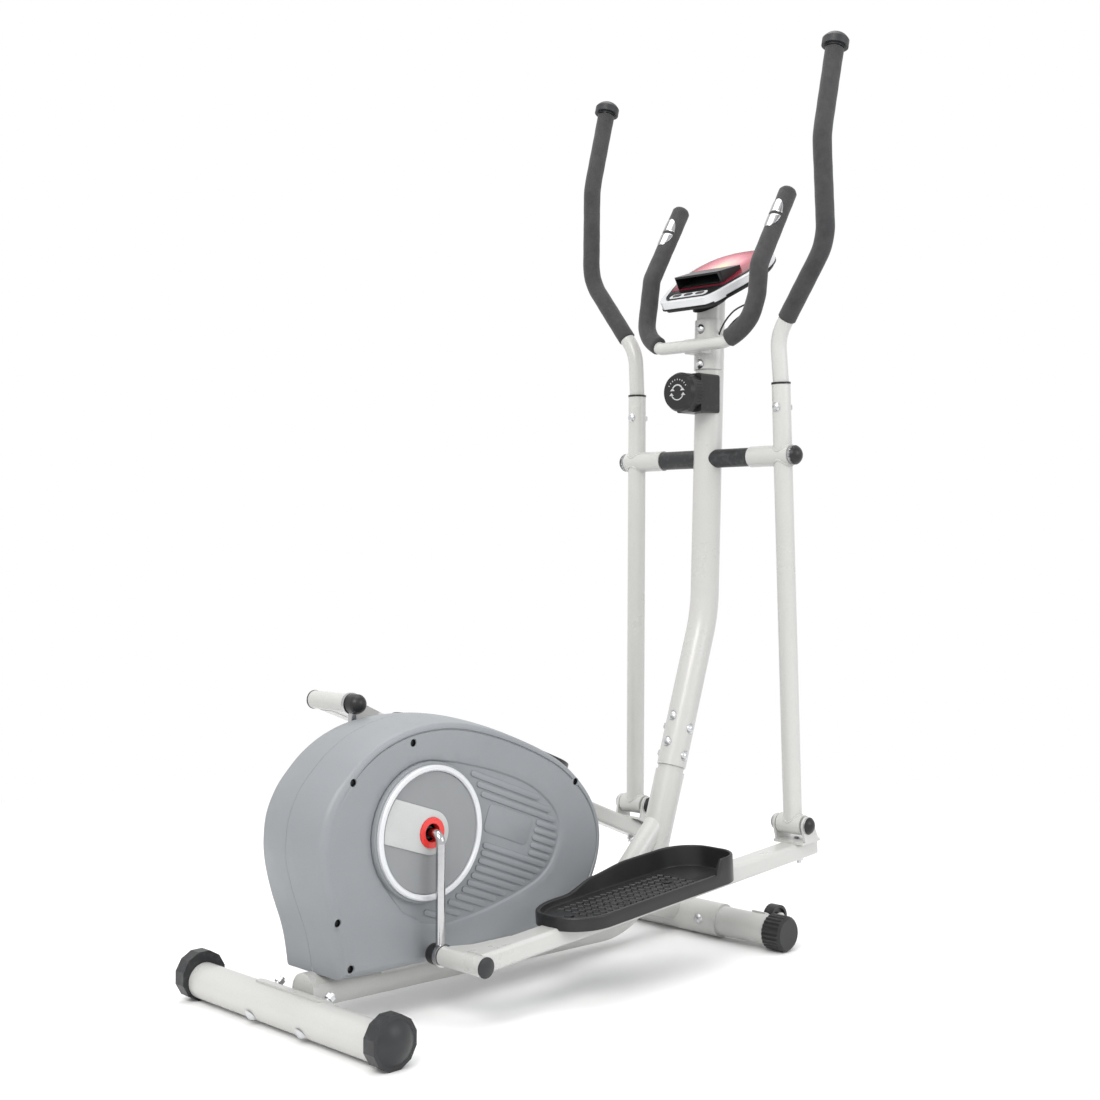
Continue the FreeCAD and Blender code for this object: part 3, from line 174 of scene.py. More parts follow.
M["rubber"] = material("rubber", (0.022, 0.022, 0.023), (0.040, 0.040, 0.041), 0.66, tone_scale=20, grain=(700, 0.3, 0.0004))
M["steel"] = material("machined_steel", (0.40, 0.41, 0.42), (0.52, 0.53, 0.54), 0.34, metal=1.0, tone_scale=40, grain=(800, 0.1, 0.0002), scratch=0.08)
M["bezel"] = material("console_silver", (0.60, 0.61, 0.63), (0.66, 0.67, 0.68), 0.30, metal=0.12, tone_scale=6, grain=(1500, 0.04, 0.0001), coat=0.25)
M["gloss"] = material("console_black_gloss", (0.010, 0.010, 0.011), (0.016, 0.016, 0.017), 0.22, tone_scale=10, grain=(1500, 0.03, 0.0001), coat=0.2, spec=0.4)
M["glass"] = material("display_glass", (0.030, 0.036, 0.032), (0.045, 0.052, 0.046), 0.12, tone_scale=16, grain=(1500, 0.01, 0.0001), coat=0.3, spec=0.4)


def overlay_material():
    """Printed sheet: deep maroon with a pink and pale yellow glow beside the hood."""
    m, nt, b = new_mat("console_overlay")
    tc = nt.nodes.new("ShaderNodeTexCoord")
    sub = nt.nodes.new("ShaderNodeVectorMath")
    sub.operation = "DISTANCE"
    ct = math.radians(31.5)
    sub.inputs[1].default_value = ((841 + 146 * math.cos(ct) - 27 * math.sin(ct)) / 1000 + XS, 0.012, (1071 + 146 * math.sin(ct) + 27 * math.cos(ct)) / 1000)
    nz = add(nt, "ShaderNodeTexNoise", i_Scale=22.0, i_Detail=3.0)
    nt.links.new(tc.outputs["Object"], nz.inputs["Vector"])
    nt.links.new(tc.outputs["Object"], sub.inputs[0])
    mul = nt.nodes.new("ShaderNodeMath")
    mul.operation = "MULTIPLY_ADD"
    mul.inputs[1].default_value = 0.035
    nt.links.new(nz.outputs["Fac"], mul.inputs[0])
    nt.links.new(sub.outputs["Value"], mul.inputs[2])
    mr = add(nt, "ShaderNodeMapRange")
    mr.inputs["From Min"].default_value = 0.015
    mr.inputs["From Max"].default_value = 0.105
    nt.links.new(mul.outputs[0], mr.inputs["Value"])
    c = ramp(nt, mr.outputs["Result"], [(0.02, (0.72, 0.62, 0.30)), (0.22, (0.70, 0.42, 0.38)), (0.45, (0.52, 0.16, 0.20)), (0.70, (0.30, 0.018, 0.045)), (1.0, (0.16, 0.008, 0.022))])
    nt.links.new(c, b.inputs["Base Color"])
    rr = ramp(nt, nz.outputs["Fac"], [(0.3, grey(0.20)), (0.7, grey(0.30))])
    nt.links.new(rr, b.inputs["Roughness"])
    fn = add(nt, "ShaderNodeTexNoise", i_Scale=900.0, i_Detail=2.0)
    nt.links.new(tc.outputs["Object"], fn.inputs["Vector"])
    bp = nt.nodes.new("ShaderNodeBump")
    bp.inputs["Strength"].default_value = 0.03
    bp.inputs["Distance"].default_value = 0.0001
    nt.links.new(fn.outputs["Fac"], bp.inputs["Height"])
    nt.links.new(bp.outputs["Normal"], b.inputs["Normal"])
    return m


M["overlay"] = overlay_material()

LOOK = {
    "paint": ["main_frame", "rear_stabilizer", "front_stabilizer", "mast_upright", "lower_arm_right", "lower_arm_left", "upper_arm_right", "upper_arm_left", "pedal_arm_right", "pedal_arm_left", "handlebar", "handlebar_bracket", "wheel_brackets"],
    "housing": ["housing_right", "housing_left"],
    "disc": ["disc_inlays"],
    "silver": ["disc_rings"],
    "red": ["crank_collars"],
    "chrome": ["crankset", "pulse_plates"],
    "zinc": ["frame_bolts", "housing_screws", "arm_fittings_right", "arm_fittings_left", "pedal_arm_fittings_right", "pedal_arm_fittings_left"],
    "steel": ["pivot_axle", "flywheel", "drive_hardware"],
    "black": ["pedal_right", "pedal_left", "crank_caps", "front_caps", "transport_wheel_right", "transport_wheel_left", "lower_pivot_right", "lower_pivot_left", "tension_box", "tension_knob", "console_hood", "drive_pulley"],
    "char": ["rear_leveller_right", "rear_leveller_left", "pivot_sleeves", "arm_cap_right", "arm_cap_left", "brake_shoe", "console_screen", "console_button_right", "console_button_middle", "console_button_left"],
    "foam": ["arm_grip_right", "arm_grip_left", "bar_grip_right", "bar_grip_left"],
    "rubber": ["drive_belt", "pulse_wires"],
    "bezel": ["console_case", "console_panel"],
}
for key, names in LOOK.items():
    for n in names:
        o = NODES[n]
        o.data.materials.clear()
        o.data.materials.append(M[key])
for n, o in NODES.items():
    if not o.data.materials:
        raise RuntimeError("no material on " + n)
    for p in o.data.polygons:
        p.use_smooth = True
    o.data.set_sharp_from_angle(angle=math.radians(32))

# ------------------------------------------------------------------ mesh helpers (layout millimetres)
def make(name, verts, faces, mats, body, smooth=32, swap=(), idx=None):
    """verts in layout mm. Builds one piece, welds it, fixes normals, rides it on a body."""
    me = bpy.data.meshes.new(name)
    me.from_pydata([(v[0] / 1000 + XS, v[1] / 1000, v[2] / 1000) for v in verts], [], faces)
    for m in (mats if isinstance(mats, (list, tuple)) else [mats]):
        me.materials.append(m)
    if idx is not None:
        me.polygons.foreach_set("material_index", idx)
    b = bmesh.new()
    b.from_mesh(me)
    bmesh.ops.remove_doubles(b, verts=b.verts, dist=1e-6)
    bmesh.ops.dissolve_degenerate(b, edges=b.edges, dist=1e-6)
    bmesh.ops.recalc_face_normals(b, faces=b.faces)
    b.to_mesh(me)
    b.free()
    for p in me.polygons:
        p.use_smooth = True
    me.set_sharp_from_angle(angle=math.radians(smooth))
    o = bpy.data.objects.new(name, me)
    SC.collection.objects.link(o)
    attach(o, body)
    if swap:
        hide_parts(*swap)
    return o


def lerp(a, b, t):
    return a + (b - a) * t


def sstep(t):
    t = max(0.0, min(1.0, t))
    return t * t * (3 - 2 * t)


def round_path(pts, radii, step=3.0):
    """Straight runs joined by tangent arcs, as evenly spaced points."""
    pts = [Vector(p) for p in pts]
    out = [pts[0]]
    for i in range(1, len(pts) - 1):
        a, b, c = pts[i - 1], pts[i], pts[i + 1]
        u, v = (a - b).normalized(), (c - b).normalized()
        ang = u.angle(v)
        r = radii[i - 1]
        t = min(r / math.tan(ang / 2), 0.49 * (a - b).length, 0.49 * (c - b).length)
        r = t * math.tan(ang / 2)
        cen = b + (u + v).normalized() * (r / math.sin(ang / 2))
        p0, p1 = b + u * t, b + v * t
        n = max(3, int(r * (math.pi - ang) / step))
        e0, e1 = (p0 - cen), (p1 - cen)
        tot = e0.angle(e1)
        for k in range(n + 1):
            f = k / n
            q = (e0 * math.sin((1 - f) * tot) + e1 * math.sin(f * tot)) / math.sin(tot)
            out.append(cen + q)
    out.append(pts[-1])
    # even spacing
    res, acc = [out[0]], 0.0
    for a, b in zip(out, out[1:]):
        L = (b - a).length
        if L < 1e-6:
            continue
        d = step - acc
        while d < L:
            res.append(a + (b - a) * (d / L))
            d += step
        acc = (acc + L) % step
    if (res[-1] - out[-1]).length < step * 0.4:
        res[-1] = out[-1]
    else:
        res.append(out[-1])
    return res


def tube_mesh(path, radius, seg=40):
    """radius(i, n, a) gives the section radius; ends are closed."""
    n = len(path)
    vs, fs = [], []
    t0 = (path[1] - path[0]).normalized()
    nrm = t0.orthogonal().normalized()
    prev = t0
    for i, p in enumerate(path):
        t = (path[min(i + 1, n - 1)] - path[max(i - 1, 0)]).normalized()
        ax = prev.cross(t)
        if ax.length > 1e-9:
            nrm = Matrix.Rotation(prev.angle(t), 3, ax.normalized()) @ nrm
        prev = t
        bi = t.cross(nrm)
        for k in range(seg):
            a = 2 * math.pi * k / seg
            vs.append(p + (nrm * math.cos(a) + bi * math.sin(a)) * radius(i, n, a))
    for i in range(n - 1):
        for k in range(seg):
            a, b = i * seg + k, i * seg + (k + 1) % seg
            fs.append((a, b, b + seg, a + seg))
    fs.append(tuple(range(seg - 1, -1, -1)))
    fs.append(tuple(range((n - 1) * seg, n * seg)))
    return vs, fs


def mirrored(vs):
    return [Vector((v[0], -v[1], v[2])) for v in vs]


# ------------------------------------------------------------------ foam grips
PIV = Vector((895.7, 0, 818))
TILT = {"right": math.radians(-2.6), "left": math.radians(0.3)}


def foam_profile(R, L, step=3.0):
    def f(i, n, a):
        d = min(i, n - 1 - i) * step
        r = R - 2.6 * (1 - math.sqrt(max(0.0, 1 - (1 - min(d, 3.4) / 3.4) ** 2)))
        s = i * step
        return r + 0.16 * math.sin(s * 0.061 + 1.3) * math.sin(a * 2 + s * 0.017) + 0.10 * math.sin(s * 0.19 + a * 3)
    return f


arm_path = round_path([(0, 0, 26), (0, 0, 121), (-5, 0, 203), (-12, 108, 348), (-13, 106, 522), (27, 108, 671)], [120, 70, 95, 150], 1.0)
gn = Vector((-0.05, 0.59, 0.806)).normalized()
gc = Vector((-7, 17, 229))
arm_path = [p for p in arm_path if (p - gc).dot(gn) > 0]
arm_path = arm_path[::3] + ([arm_path[-1]] if (len(arm_path) - 1) % 3 else [])
for side, sgn in (("right", -1), ("left", 1)):
    c, s_ = math.cos(TILT[side]), math.sin(TILT[side])
    path = [Vector((p.x * c + p.z * s_ + 895.7, sgn * (p.y + 167), -p.x * s_ + p.z * c + 818)) for p in arm_path]
    vs, fs = tube_mesh(path, foam_profile(15.7, 0))
    o = make("foam_arm_" + side, vs, fs, M["foam"], side + "_arm", 50, ("arm_grip_" + side,))

bar_pts = [(855, 0, 1016), (855, 76, 1016), (866, 119, 1050), (880, 124, 1098), (887, 123, 1150), (969, 123, 1286)]
bar_path = round_path(bar_pts, [90, 90, 60, 32], 1.0)
# the foam starts where the bar passes 78 mm from the middle and ends at the bar's end
bar_path = [p for p in bar_path if p.y > 78]
end = (bar_path[-1] - bar_path[-12]).normalized()
bar_path = bar_path[::3] + [bar_path[-1] + end * 4]
for side, sgn in (("right", -1), ("left", 1)):
    path = [Vector((p.x, sgn * p.y, p.z)) for p in bar_path]
    vs, fs = tube_mesh(path, foam_profile(16.15, 0))
    o = make("foam_bar_" + side, vs, fs, M["foam"], "frame", 50, ("bar_grip_" + side,))

# ------------------------------------------------------------------ drive housing
PROFILE = [(40, 72), (31, 125), (15, 177), (4, 222), (2, 256), (7, 290), (22, 321), (44, 346), (72, 370), (109, 391), (154, 405), (205, 410), (255, 406), (310, 393), (366, 374), (420, 351), (465, 326), (503, 294), (530, 260), (545, 222), (545, 185), (532, 148), (508, 114), (470, 86), (425, 70)]
CX, CZ, HALF = 186.0, 257.0, 72.0


def catmull(pts, per):
    out = []
    P = [Vector((2 * pts[0][0] - pts[1][0], 2 * pts[0][1] - pts[1][1]))] + [Vector(p) for p in pts] + [Vector((2 * pts[-1][0] - pts[-2][0], 2 * pts[-1][1] - pts[-2][1]))]
    for i in range(1, len(P) - 2):
        for k in range(per):
            t = k / per
            a, b, c, d = P[i - 1], P[i], P[i + 1], P[i + 2]
            out.append(0.5 * ((2 * b) + (c - a) * t + (2 * a - 5 * b + 4 * c - d) * t * t + (3 * b - a - 3 * c + d) * t ** 3))
    out.append(P[-2])
    return out


top = catmull(PROFILE, 9)
bottom = [Vector((lerp(425, 40, k / 42), lerp(70, 72, k / 42))) for k in range(1, 42)]
loop = top + bottom
NTOP, NL = len(top), len(top) + len(bottom)


def hw(x, z):
    return HALF - 7 * sstep((200 - z) / 120) * sstep((130 - x) / 130)


def offset_loop(pts, d):
    """Moves a clockwise loop inwards by d with limited mitres."""
    n = len(pts)
    out = []
    for i in range(n):
        a, b, c = pts[i - 1], pts[i], pts[(i + 1) % n]
        e1, e2 = (b - a).normalized(), (c - b).normalized()
        n1, n2 = Vector((e1.y, -e1.x)), Vector((e2.y, -e2.x))
        m = n1 + n2
        m = m / max(0.35, 1 + n1.dot(n2))
        out.append(b + m * d)
    return out


# orientation: the profile runs up the rear and over the top, so the inside is to the right of travel
acc = 0.0
for i in range(NL):
    a, b = loop[i - 1], loop[i]
    acc += a.x * b.y - b.x * a.y
SIGN = 1 if acc < 0 else -1


def inset_loop(d):
    return offset_loop(loop, d * SIGN)


def loop_len(i):
    return min(i, NTOP - 1 - i)


crown = []
for i in range(NL):
    if i >= NTOP:
        crown.append(0.0)
    else:
        crown.append(7.5 * sstep(i / 34) * sstep((NTOP - 1 - i) / 26))

REC_R = 103.0
rec = []
for k in range(15):
    a = math.radians(lerp(78, 218, k / 14))
    rec.append((CX + REC_R * math.cos(a), CZ + REC_R * math.sin(a)))
rec += [(121, 172), (143, 146), (176, 127), (227, 118)]
low = catmull([(227, 118), (292, 125), (371, 142), (422, 163), (448, 195), (456, 233), (438, 267), (391, 303), (321, 331), (244, 352)], 6)
rec += [tuple(v) for v in low[1:]]
rec = [Vector(v) for v in rec]
acc = 0.0
for i in range(len(rec)):
    acc += rec[i - 1].x * rec[i].y - rec[i].x * rec[i - 1].y
RSIGN = 1 if acc < 0 else -1


def inside(p, poly):
    c = False
    n = len(poly)
    for i in range(n):
        a, b = poly[i - 1], poly[i]
        if (a.y > p.y) != (b.y > p.y) and p.x < (b.x - a.x) * (p.y - a.y) / (b.y - a.y) + a.x:
            c = not c
    return c


def circ(cx, cz, r, n):
    return [Vector((cx + r * math.cos(2 * math.pi * k / n), cz + r * math.sin(2 * math.pi * k / n))) for k in range(n)]


SCREWS = [(161, 385), (55, 340), (31, 153), (55, 86), (489, 296)]
REC_D = 2.6


# fillet radius and groove depth round the outline: soft down the rear and along the foot, crisp over the top and front
RAD, GRV = [], []
for i in range(NL):
    f_ = sstep((i - 48) / 30) if i < NTOP else 1.0 - sstep((i - NTOP - 6) / 34)
    if i >= NTOP - 1:
        f_ = max(f_, 0.0)
    RAD.append(lerp(12.0, 7.0, f_))
    GRV.append(f_ if i < NTOP else f_ * 0.6)
OUTN = offset_loop(loop, -1.0 * SIGN)


def var_loop(dl):
    return [p - (q - p) * d for p, q, d in zip(loop, OUTN, dl)]


def build_side(holes):
    from mathutils.geometry import delaunay_2d_cdt
    vco, edges, depth = [], [], []

    def ring_of(pts, f):
        b = len(vco)
        for k_, p in enumerate(pts):
            vco.append(p)
            depth.append(f[k_] if isinstance(f, list) else f)
        n = len(pts)
        edges.extend((b + k, b + (k + 1) % n) for k in range(n))

    # fillet, land, groove, side face
    R = 7.0
    for a in (0, 15, 30, 45, 60, 75, 90):
        t = math.radians(a)
        ring_of(var_loop([r_ * (1 - math.cos(t)) + 0.02 for r_ in RAD]), [r_ * (1 - math.sin(t)) for r_ in RAD])
    for d, f in ((1.6, 0.0), (2.8, 2.0), (3.4, 2.1), (4.6, 0.5), (7.5, 0.3)):
        ring_of(var_loop([r_ + d for r_ in RAD]), [f * g_ + (0.3 * (1 - g_) if f < 0.01 else 0.0) if f != 0.3 else 0.3 for g_ in GRV])
    r1 = offset_loop(rec, 1.0 * RSIGN)
    r2 = offset_loop(rec, 3.2 * RSIGN)
    ring_of(rec, 0.3)
    ring_of(r1, 0.7)
    ring_of(r2, REC_D)
    for r, y in ((100.2, None), (99.4, 77.2), (98.8, 78.0), (24.0, 78.0)):
        ring_of(circ(CX, CZ, r, 96 if r > 30 else 48), REC_D if y is None else ("y", y))
    for x, z in SCREWS if holes else ():
        ring_of(circ(x, z, 6.0, 20), 0.3)
        ring_of(circ(x, z, 5.4, 20), 1.2)
        ring_of(circ(x, z, 5.2, 20), 8.0)
    # fill points
    lim = inset_loop(23.0)
    g = 11.0
    x = 0.0
    while x < 560:
        z = 60.0
        while z < 420:
            p = Vector((x + (g / 2 if int(z / g) % 2 else 0), z))
            z += g
            if not inside(p, lim):
                continue
            if (p - Vector((CX, CZ))).length < 104:
                continue
            if any((p - Vector(q)).length < 9 for q in SCREWS):
                continue
            if min((p - q).length for q in rec) < 7 or min((p - q).length for q in r2) < 6:
                continue
            vco.append(p)
            depth.append(REC_D if inside(p, r2) else 0.3)
        x += g
    res = delaunay_2d_cdt(vco, edges, [], 1, 1e-5)
    vo, fo, orig = res[0], res[2], res[3]
    out = []
    for k, p in enumerate(vo):
        o = orig[k]
        if o:
            f = depth[o[0]]
        else:
            f = REC_D if inside(p, r2) else 0.3
        y = f[1] if isinstance(f, tuple) else hw(p.x, p.y) - f
        for sx_, sz_ in SCREWS if holes else ():
            dd = math.hypot(p.x - sx_, p.y - sz_)
            if dd < 5.3:
                y = hw(p.x, p.y) - 8.0
            elif dd < 5.6:
                y = hw(p.x, p.y) - 1.2
        out.append((p.x, y, p.y))
    faces = []
    for f in fo:
        c = sum((Vector(vo[k]) for k in f), Vector((0, 0))) / len(f)
        if (c - Vector((CX, CZ))).length < 23.8:
            continue
        faces.append(tuple(f))
    # screw floors are part of the face; rim next
    ys = [0.15, 0.9, 1.6, 5, 10, 16, 22, 28, 34, 40, 46, 52, 57, 61]
    base = len(out)
    l0 = inset_loop(0.02)
    outn = offset_loop(loop, -1.0 * SIGN)
    cols = []
    for i in range(NL):
        p, q = l0[i], outn[i]
        n = (q - loop[i]).normalized()
        top_y = hw(p.x, p.y) - RAD[i]
        col = []
        for j, y0 in enumerate(ys):
            y = 0.15 + (y0 - 0.15) * (top_y - 0.15) / 65.0
            f = y / top_y
            c = crown[i] * (1 - f * f)
            if j < 2:
                c -= 0.25 * (1 if j == 0 else 0.5)
            col.append((p.x + n.x * c, y, p.y + n.y * c))
        col.append((p.x, top_y, p.y))
        cols.append(col)
    m = len(cols[0])
    for col in cols:
        out.extend(col)
    for i in range(NL):
        k = (i + 1) % NL
        for j in range(m - 1):
            if i >= NTOP - 1 and cols[i][j + 1][1] < 27.5:
                continue
            faces.append((base + i * m + j, base + k * m + j, base + k * m + j + 1, base + i * m + j + 1))
    return out, faces


for side, sgn in (("right", -1), ("left", 1)):
    side_v, side_f = build_side(side == "right")
    make("housing_shell_" + side, [(v[0], sgn * v[1], v[2]) for v in side_v], side_f, M["housing"], "frame", 38, ("housing_" + side,))

# slats in the recess: bars with bevelled tops, cut to the recess outline, the ring and the plain badge plate
SL = math.tan(math.radians(-21.0))
rin = offset_loop(rec, 6.0 * RSIGN)
BC, BU = Vector((346, 247)), Vector((math.cos(math.radians(-21)), math.sin(math.radians(-21))))
BV = Vector((-BU.y, BU.x))


def in_badge(p, grow):
    d = p - BC
    return abs(d.dot(BU)) < 47 + grow and abs(d.dot(BV)) < 21 + grow


def slat_runs():
    runs = []
    z0 = 120.0
    while z0 < 560:
        cur, x = None, 180.0
        while x < 470:
            p = Vector((x, z0 + SL * (x - 180)))
            ok = inside(p, rin) and (p - Vector((CX, CZ))).length > 113 and not in_badge(p, 8)
            ok = ok and all(inside(p + BV * d, rin) for d in (-4, 4))
            if ok:
                cur = [p, p] if cur is None else [cur[0], p]
            if (not ok or x + 1 >= 470) and cur is not None:
                if (cur[1] - cur[0]).length > 16:
                    runs.append((cur[0], cur[1]))
                cur = None
            x += 1.0
        z0 += 13.4 / math.cos(math.radians(21)) * 0.86
    return runs


def plate(outline_fn, y0, y1, bev):
    """Stack of outlines: base at y0, edge at y1 - bev, top inset by bev at y1."""
    vs, fs = [], []
    levels = [(0.0, y0), (0.0, y1 - bev), (bev * 0.3, y1 - bev * 0.3), (bev, y1)]
    n = None
    for d, y in levels:
        pts = outline_fn(d)
        n = len(pts)
        vs += [(p.x, y, p.y) for p in pts]
    for l in range(len(levels) - 1):
        for k in range(n):
            fs.append((l * n + k, l * n + (k + 1) % n, (l + 1) * n + (k + 1) % n, (l + 1) * n + k))
    fs.append(tuple(range((len(levels) - 1) * n, len(levels) * n)))
    return vs, fs


def stadium(a, b, r):
    def f(d):
        u = (b - a).normalized()
        v = Vector((-u.y, u.x))
        rr = r - d
        pts = []
        for k in range(9):
            t = math.pi * k / 8 - math.pi / 2
            pts.append(b + u * (rr * math.cos(t)) + v * (rr * math.sin(t)))
        for k in range(9):
            t = math.pi * k / 8 + math.pi / 2
            pts.append(a + u * (rr * math.cos(t)) + v * (rr * math.sin(t)))
        return pts
    return f


def rrect(c, u, v, hx, hy, r):
    def f(d):
        pts = []
        for sx, sy, a0 in ((1, 1, 0), (-1, 1, 90), (-1, -1, 180), (1, -1, 270)):
            for k in range(7):
                t = math.radians(a0 + 15 * k)
                pts.append(c + u * (sx * (hx - r) + (r - d) * math.cos(t)) + v * (sy * (hy - r) + (r - d) * math.sin(t)))
        return pts
    return f


rv, rf = [], []


def put_in(vs, fs):
    b = len(rv)
    rv.extend(vs)
    rf.extend(tuple(i + b for i in f) for f in fs)


for a, b in slat_runs():
    u = (b - a).normalized()
    put_in(*plate(stadium(a + u * 4.2, b - u * 4.2, 4.2), HALF - REC_D - 0.2, HALF - 0.5, 1.1))
for side, sgn in (("right", -1), ("left", 1)):
    make("housing_slats_" + side, [(v[0], sgn * v[1], v[2]) for v in rv], rf, M["housing"], "frame", 40)
rv, rf = [], []
put_in(*plate(rrect(BC, BU, BV, 47, 21, 9), HALF - REC_D - 0.2, HALF - 1.5, 0.6))
for side, sgn in (("right", -1), ("left", 1)):
    make("housing_badge_" + side, [(v[0], sgn * v[1], v[2]) for v in rv], rf, M["housing"], "frame", 40)

# case screws: cross-head pan screws at the bottom of the holes
rv, rf = [], []
for x, z in SCREWS:
    y = hw(x, z)
    for r0, y0, r1, y1 in ((5.1, y - 2.4, 5.1, y - 6.8), (5.1, y - 6.8, 3.9, y - 6.8), (3.9, y - 6.8, 3.8, y - 5.0), (3.8, y - 5.0, 3.0, y - 4.3), (3.0, y - 4.3, 1.3, y - 4.1), (1.3, y - 4.1, 1.1, y - 5.1)):
        b = len(rv)
        rv.extend((x + r0 * math.cos(2 * math.pi * k / 18), y0, z + r0 * math.sin(2 * math.pi * k / 18)) for k in range(18))
        rv.extend((x + r1 * math.cos(2 * math.pi * k / 18), y1, z + r1 * math.sin(2 * math.pi * k / 18)) for k in range(18))
        rf.extend((b + k, b + (k + 1) % 18, b + 18 + (k + 1) % 18, b + 18 + k) for k in range(18))
    rf.append(tuple(range(len(rv) - 18, len(rv))))
make("case_screws", [(v[0], -v[1], v[2]) for v in rv], rf, M["black"], "frame", 40, ("housing_screws",))

# pale strip with a round nose on the disc
ia = math.radians(161.7)
iu, iv = Vector((math.cos(ia), math.sin(ia))), Vector((-math.sin(ia), math.cos(ia)))


def strip_outline(d):
    pts, h, R = [], 31.5 - d, 85.6 - d
    for k in range(25):
        t = math.radians(-90 - 180 * k / 24)
        pts.append(Vector((CX, CZ)) + iu * (h * math.cos(t)) + iv * (h * math.sin(t)) * 1.0)
    e = math.asin(h / R)
    for k in range(15):
        t = lerp(e, -e, k / 14)
        pts.append(Vector((CX, CZ)) + iu * (R * math.cos(t)) + iv * (R * math.sin(t)))
    return pts


vs, fs = plate(strip_outline, 80.0, 82.1, 0.5)
fs = fs[:-1]
# the top is an annulus round the collar, filled by the disc triangulation
from mathutils.geometry import delaunay_2d_cdt
outl = strip_outline(0.5)
hole = circ(CX, CZ, 22.3, 40)
vco = outl + hole
ed = [(k, (k + 1) % len(outl)) for k in range(len(outl))] + [(len(outl) + k, len(outl) + (k + 1) % 40) for k in range(40)]
r = delaunay_2d_cdt(vco, ed, [], 1, 1e-5)
b0 = len(vs)
vs += [(p[0], 82.1, p[1]) for p in r[0]]
for f in r[2]:
    c = sum((Vector(r[0][k]) for k in f), Vector((0, 0))) / len(f)
    if (c - Vector((CX, CZ))).length > 22:
        fs.append(tuple(k + b0 for k in f))
dv, df = [], []
for (ra, ya), (rb, yb) in (((86.7, 78.2), (86.7, 79.6)), ((86.7, 79.6), (86.0, 80.2)), ((86.0, 80.2), (60.0, 80.2)), ((60.0, 80.2), (22.3, 80.2)), ((22.3, 80.2), (22.3, 78.2))):
    b = len(dv)
    dv.extend((CX + ra * math.cos(2 * math.pi * k / 96), ya, CZ + ra * math.sin(2 * math.pi * k / 96)) for k in range(96))
    dv.extend((CX + rb * math.cos(2 * math.pi * k / 96), yb, CZ + rb * math.sin(2 * math.pi * k / 96)) for k in range(96))
    df.extend((b + k, b + (k + 1) % 96, b + 96 + (k + 1) % 96, b + 96 + k) for k in range(96))
for side, sgn in (("right", -1), ("left", 1)):
    make("disc_strip_" + side, [(v[0], sgn * v[1], v[2]) for v in vs], fs, M["inlay"], "frame", 40)
    make("disc_face_" + side, [(v[0], sgn * v[1], v[2]) for v in dv], df, M["disc"], "frame", 40, ("disc_inlays",) if side == "right" else ())
# ------------------------------------------------------------------ pedals
HUBS = {"right": (924.28, 188.65), "left": (892.40, 188.01)}
ROTS = {"right": math.radians(-4.301), "left": math.radians(22.081)}
PW = -30.9
PU0, PU1, PV0, PV1 = -593.0, -222.0, -59.5, 66.0


def ped(side, u, v, w):
    a, (hx, hz) = ROTS[side], HUBS[side]
    return (hx + u * math.cos(a) + w * math.sin(a), (-1 if side == "right" else 1) * (167 + v), hz - u * math.sin(a) + w * math.cos(a))


def arc(cu, cv, ru, rv_, a0, a1, n=12):
    return [Vector((cu + ru * math.cos(math.radians(lerp(a0, a1, k / n))), cv + rv_ * math.sin(math.radians(lerp(a0, a1, k / n))))) for k in range(n + 1)]


def run(a, b, step=5.0):
    n = max(1, int((b - a).length / step))
    return [a.lerp(b, k / n) for k in range(1, n)]


corner = [arc(PU1 - 62, PV0 + 56, 62, 56, -90, 0), arc(PU1 - 40, PV1 - 40, 40, 40, 0, 90), arc(PU0 + 62, PV1 - 62, 62, 62, 90, 180), arc(PU0 + 70, PV0 + 46, 70, 46, 180, 270)]
ploop = []
for k in range(4):
    ploop += corner[k] + run(corner[k][-1], corner[(k + 1) % 4][0])
PN = len(ploop)
pin1 = offset_loop(ploop, -1.0)
if not inside(pin1[0], ploop):
    pin1 = offset_loop(ploop, 1.0)
pnorm = [b - a for a, b in zip(ploop, pin1)]


def rim(u, v):
    """Rim height and how far the point belongs to the high wall, 0..1."""
    if v > 20:
        f = sstep((u - (PU1 - 64)) / 7)
        return lerp(16, 39.4, f), f
    if u < PU0 + 90:
        return 16.0, 0.0
    if u < PU0 + 150:
        f = sstep((u - PU0 - 90) / 70)
        return lerp(16, 31.5, f), f
    if u < PU0 + 235:
        f = (u - PU0 - 150) / 85
        return lerp(30.3, 39.4, sstep(f * 0.9 + 0.1)), 1.0
    return 39.4, 1.0


pv, pf = [], []
for i, p in enumerate(ploop):
    h, f = rim(p.x, p.y)
    t = lerp(7.5, 4.6, f)
    prof = [(4.0, 0.1), (3.6, -4.0), (1.0, -4.0), (0.0, -3.0), (0.0, (h - 5.5) / 2), (0, h - 2.5), (0.35, h - 1.2), (1.2, h - 0.35), (2.2, h), (t - 2.2, h), (t - 1.2, h - 0.35), (t - 0.35, h - 1.2), (t, h - 2.5), (t + 0.3, 8.5), (t + 1.2, 6.2), (t + 3.5, 5.0)]
    for d, z in prof:
        q = p + pnorm[i] * d
        pv.append((q.x, q.y, PW + z))
PL = 16
for i in range(PN):
    k = (i + 1) % PN
    for j in range(PL - 1):
        pf.append((i * PL + j, k * PL + j, k * PL + j + 1, i * PL + j + 1))
pf.append(tuple(i * PL for i in range(PN)))
inner = [Vector((pv[i * PL + PL - 1][0], pv[i * PL + PL - 1][1])) for i in range(PN)]
SCR = [PU0 + 42, PU1 - 110]
vco, zz = list(inner), [5.0] * PN
ed = [(k, (k + 1) % PN) for k in range(PN)]
for u in SCR:
    for r_, z in ((8.6, 5.0), (7.6, 4.2), (7.3, 3.25)):
        b0 = len(vco)
        vco += circ(u, 0, r_, 24)
        zz += [z] * 24
        ed += [(b0 + k, b0 + (k + 1) % 24) for k in range(24)]
